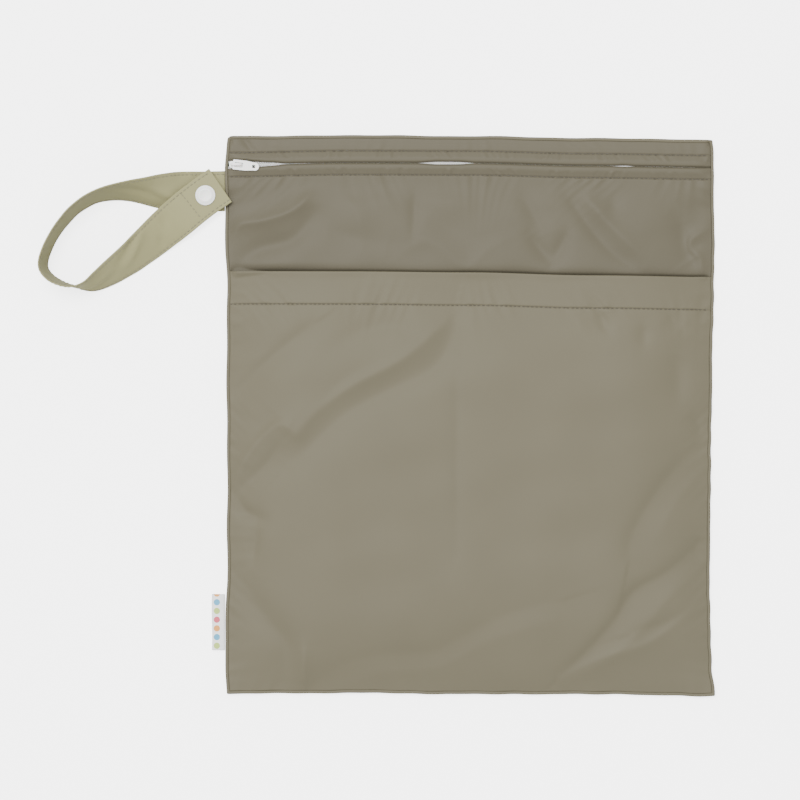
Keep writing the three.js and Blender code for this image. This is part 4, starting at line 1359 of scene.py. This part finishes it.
def ribs(tree, where, axis, pitch):
    # a sine across one axis of a map that counts in tenths of a metre
    part = addNode(tree, "ShaderNodeSeparateXYZ", Vector=where).outputs[axis]
    return mathNode(tree, "SINE", mathNode(tree, "MULTIPLY", part, 2 * pi * 100 / pitch))


def clothMaterial(name, colour, gloss):
    # a matt knit: its loops are a product of two sines, plus noise, on the piece's own map
    look = clothLook
    material, tree, shader = newMaterial(name, colour, look["roughness"], Specular_IOR_Level=gloss,
                                         Sheen_Weight=look["sheen"], Sheen_Roughness=0.5)
    where = addNode(tree, "ShaderNodeUVMap", {"uv_map": "UVMap"}).outputs["UV"]
    mottled(tree, shader, colour, where, 3.0, look["mottle"])
    wales = ribs(tree, where, "X", look["knitPitch"])
    courses = ribs(tree, where, "Y", look["knitPitch"] * 0.7)
    loops = mathNode(tree, "MULTIPLY", wales, courses)
    fine = addNode(tree, "ShaderNodeTexNoise", Vector=where, Scale=420.0, Detail=2.0)
    height = mathNode(tree, "ADD", loops, mathNode(tree, "MULTIPLY", fine.outputs["Fac"], 1.6))
    addBump(tree, shader, height, 0.35, look["knitDepth"])
    return material


def wovenMaterial(name, colour, pitch, depth):
    # plain weave, over and under, on the piece's own metres
    material, tree, shader = newMaterial(name, colour, 0.62, Sheen_Weight=0.1)
    scaled = addNode(tree, "ShaderNodeVectorMath", {"operation": "SCALE"},
                     Vector=objectPlace(tree), Scale=10.0).outputs["Vector"]
    height = mathNode(tree, "MULTIPLY", ribs(tree, scaled, "X", pitch), ribs(tree, scaled, "Y", pitch))
    addBump(tree, shader, height, 0.5, depth)
    mottled(tree, shader, colour, scaled, 40.0, 0.04)
    return material


def plasticMaterial(name, colour, roughness):
    # a little light passes through it, and its face is faintly uneven
    material, tree, shader = newMaterial(name, colour, roughness,
                                         Subsurface_Weight=0.06, Subsurface_Scale=0.002)
    place = objectPlace(tree)
    noise = addNode(tree, "ShaderNodeTexNoise", Vector=place, Scale=900.0, Detail=2.0)
    addBump(tree, shader, noise.outputs["Fac"], 0.1, 0.02)
    mottled(tree, shader, colour, place, 60.0, 0.012)
    return material


def threadMaterial(name, colour):
    # matt and mottled
    material, tree, shader = newMaterial(name, colour, 0.6, Sheen_Weight=0.2)
    mottled(tree, shader, colour, objectPlace(tree), 500.0, 0.1)
    return material


labelLook = {
    "cloth": (0.88, 0.88, 0.86),
    "marks": [(0.42, 0.55, 0.12), (0.08, 0.35, 0.55), (0.72, 0.30, 0.05), (0.60, 0.08, 0.12)],
    "markPitch": 5.4,          # mm
    "markSize": 1.95,
    "markLine": -4.9,          # mm out from the seam
}


def labelMaterial(name):
    # satin tape with a row of small woven dots, whose four colours take turns
    look = labelLook
    material, tree, shader = newMaterial(name, look["cloth"], 0.45, Sheen_Weight=0.15)
    where = addNode(tree, "ShaderNodeUVMap", {"uv_map": "UVMap"}).outputs["UV"]
    part = addNode(tree, "ShaderNodeSeparateXYZ", Vector=where)
    out = mathNode(tree, "MULTIPLY", part.outputs["X"], 100.0)
    along = mathNode(tree, "MULTIPLY", part.outputs["Y"], 100.0)
    step = mathNode(tree, "DIVIDE", along, look["markPitch"])
    whole = mathNode(tree, "FLOOR", step)
    past = mathNode(tree, "SUBTRACT", mathNode(tree, "SUBTRACT", step, whole), 0.5)
    dy = mathNode(tree, "MULTIPLY", past, look["markPitch"])
    dx = mathNode(tree, "SUBTRACT", out, look["markLine"])
    squares = [mathNode(tree, "POWER", d, 2.0) for d in (dx, dy)]
    away = mathNode(tree, "SQRT", mathNode(tree, "ADD", *squares))
    mark = mathNode(tree, "LESS_THAN", away, look["markSize"])
    which = mathNode(tree, "MODULO", whole, float(len(look["marks"])))
    colour = (*look["cloth"], 1)
    for i, tint in enumerate(look["marks"]):
        turn = mathNode(tree, "COMPARE", which, float(i), 0.1)
        share = mathNode(tree, "MULTIPLY", turn, mark)
        blend = addNode(tree, "ShaderNodeMix", {"data_type": "RGBA"}, Factor=share, A=colour, B=(*tint, 1))
        colour = blend.outputs["Result"]
    tree.links.new(colour, shader.inputs["Base Color"])
    height = mathNode(tree, "MULTIPLY", ribs(tree, where, "X", 0.5), ribs(tree, where, "Y", 0.4))
    addBump(tree, shader, height, 0.3, 0.03)
    return material


looks = {
    "pocket": clothMaterial("pocket_knit", clothLook["pocket"], clothLook["gloss"]),
    # a darker copy of the same knit: painted shade on the upper panels
    "upper": clothMaterial("upper_knit_painted_shade", clothLook["upper"], clothLook["gloss"]),
    "strap": clothMaterial("strap_knit", clothLook["strap"], clothLook["strapGloss"]),
    "plastic": plasticMaterial("white_plastic", (0.95, 0.95, 0.92), 0.3),
    "coil": plasticMaterial("nylon_coil", (0.68, 0.67, 0.66), 0.38),
    # the tape, white in the real bag, is made grey: painted shade in the slot over the zip
    "tape": wovenMaterial("zip_tape_weave_painted_shade", (0.42, 0.41, 0.38), 0.6, 0.05),
    "thread": threadMaterial("stitch_thread", (0.062, 0.052, 0.036)),
    "strapThread": threadMaterial("strap_stitch_thread", (0.19, 0.178, 0.11)),
    "label": labelMaterial("label_weave"),
}
print("materials made")


def dress(piece, look, nodes, body="bag"):
    # a finished piece: its material, the solids it stands for hidden, and its body
    piece.data.materials.clear()
    piece.data.materials.append(looks[look])
    if nodes:
        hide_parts(*nodes)
    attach(piece, body)


dress(pocketPiece, "pocket", ["pocket_panel"])
# the front and top strip take the darker knit, painted shade
dress(frontPiece, "upper", ["front_panel"])
dress(stripPiece, "upper", ["top_strip"])
dress(backPiece, "pocket", ["back_panel"])
dress(coilPiece, "coil", ["zipper_coil"])
dress(sliderPiece, "plastic", ["slider_body"])
dress(pullPiece, "plastic", ["pull_tab"], "pull")
dress(capPiece, "plastic", ["snap_cap"])
dress(postPiece, "plastic", ["snap_post"])
dress(backCapPiece, "plastic", ["snap_back_cap"])
dress(strapPiece, "strap", ["strap"])
dress(labelPiece, "label", ["label"])
dress(zipStitches, "thread", [])
dress(hemStitches, "thread", [])
dress(strapThread, "strapThread", [])
# the tapes take the greyed weave, painted shade in the slot
for name in ("zipper_tape_upper", "zipper_tape_lower"):
    tape = frame["nodes"][name]
    tape.data.materials.clear()
    tape.data.materials.append(looks["tape"])

strapRun = strapFrames(strapSettings["steps"])[3][-1]
print(f"strap {strapRun:.1f} mm long")

# the pale ground and the soft light
studio = {
    "floor": (0.93, 0.93, 0.93),
    "floorGlow": 3.2,          # a lit table, as far as the camera sees it
    "floorSize": 4.0,          # m
    "world": (1.0, 1.0, 1.0),
    "worldStrength": 1.15,
    "keyPower": 230.0,
    "keySize": (2.2, 1.6),
    "keyPlace": (-0.8, 1.1, 4.0),
    "fillPower": 4.0,
    "fillPlace": (1.2, -1.8, 3.2),
}


def areaLight(name, place, power, size):
    # a soft panel that faces the bag
    data = bpy.data.lights.new(name, "AREA")
    data.shape = "RECTANGLE"
    data.size, data.size_y = size
    data.energy = power
    light = newObject(name, data)
    light.location = place
    light.rotation_euler = (-Vector(place)).to_track_quat("-Z", "Y").to_euler()


def makeStudio(s):
    # a flat floor just under the bag, a plain white world and two lights
    half = s["floorSize"] / 2 / mm
    corners = [(-half, -half, -0.05), (half, -half, -0.05), (half, half, -0.05), (-half, half, -0.05)]
    floor = meshObject("floor", corners, [(0, 1, 2, 3)], smooth=False)
    material, tree, shader = newMaterial("pale_floor", s["floor"], 0.9)
    mottled(tree, shader, s["floor"], objectPlace(tree), 2.0, 0.005)
    shader.inputs["Emission Color"].default_value = (1, 1, 1, 1)
    seen = addNode(tree, "ShaderNodeLightPath").outputs["Is Camera Ray"]
    tree.links.new(mathNode(tree, "MULTIPLY", seen, s["floorGlow"]), shader.inputs["Emission Strength"])
    floor.data.materials.append(material)
    world = bpy.data.worlds.new("studio")
    world.use_nodes = True
    sky = world.node_tree.nodes["Background"]
    sky.inputs["Color"].default_value = (*s["world"], 1)
    sky.inputs["Strength"].default_value = s["worldStrength"]
    bpy.context.scene.world = world
    areaLight("key", s["keyPlace"], s["keyPower"], s["keySize"])
    areaLight("fill", s["fillPlace"], s["fillPower"], s["keySize"])


makeStudio(studio)
print("floor and light made")
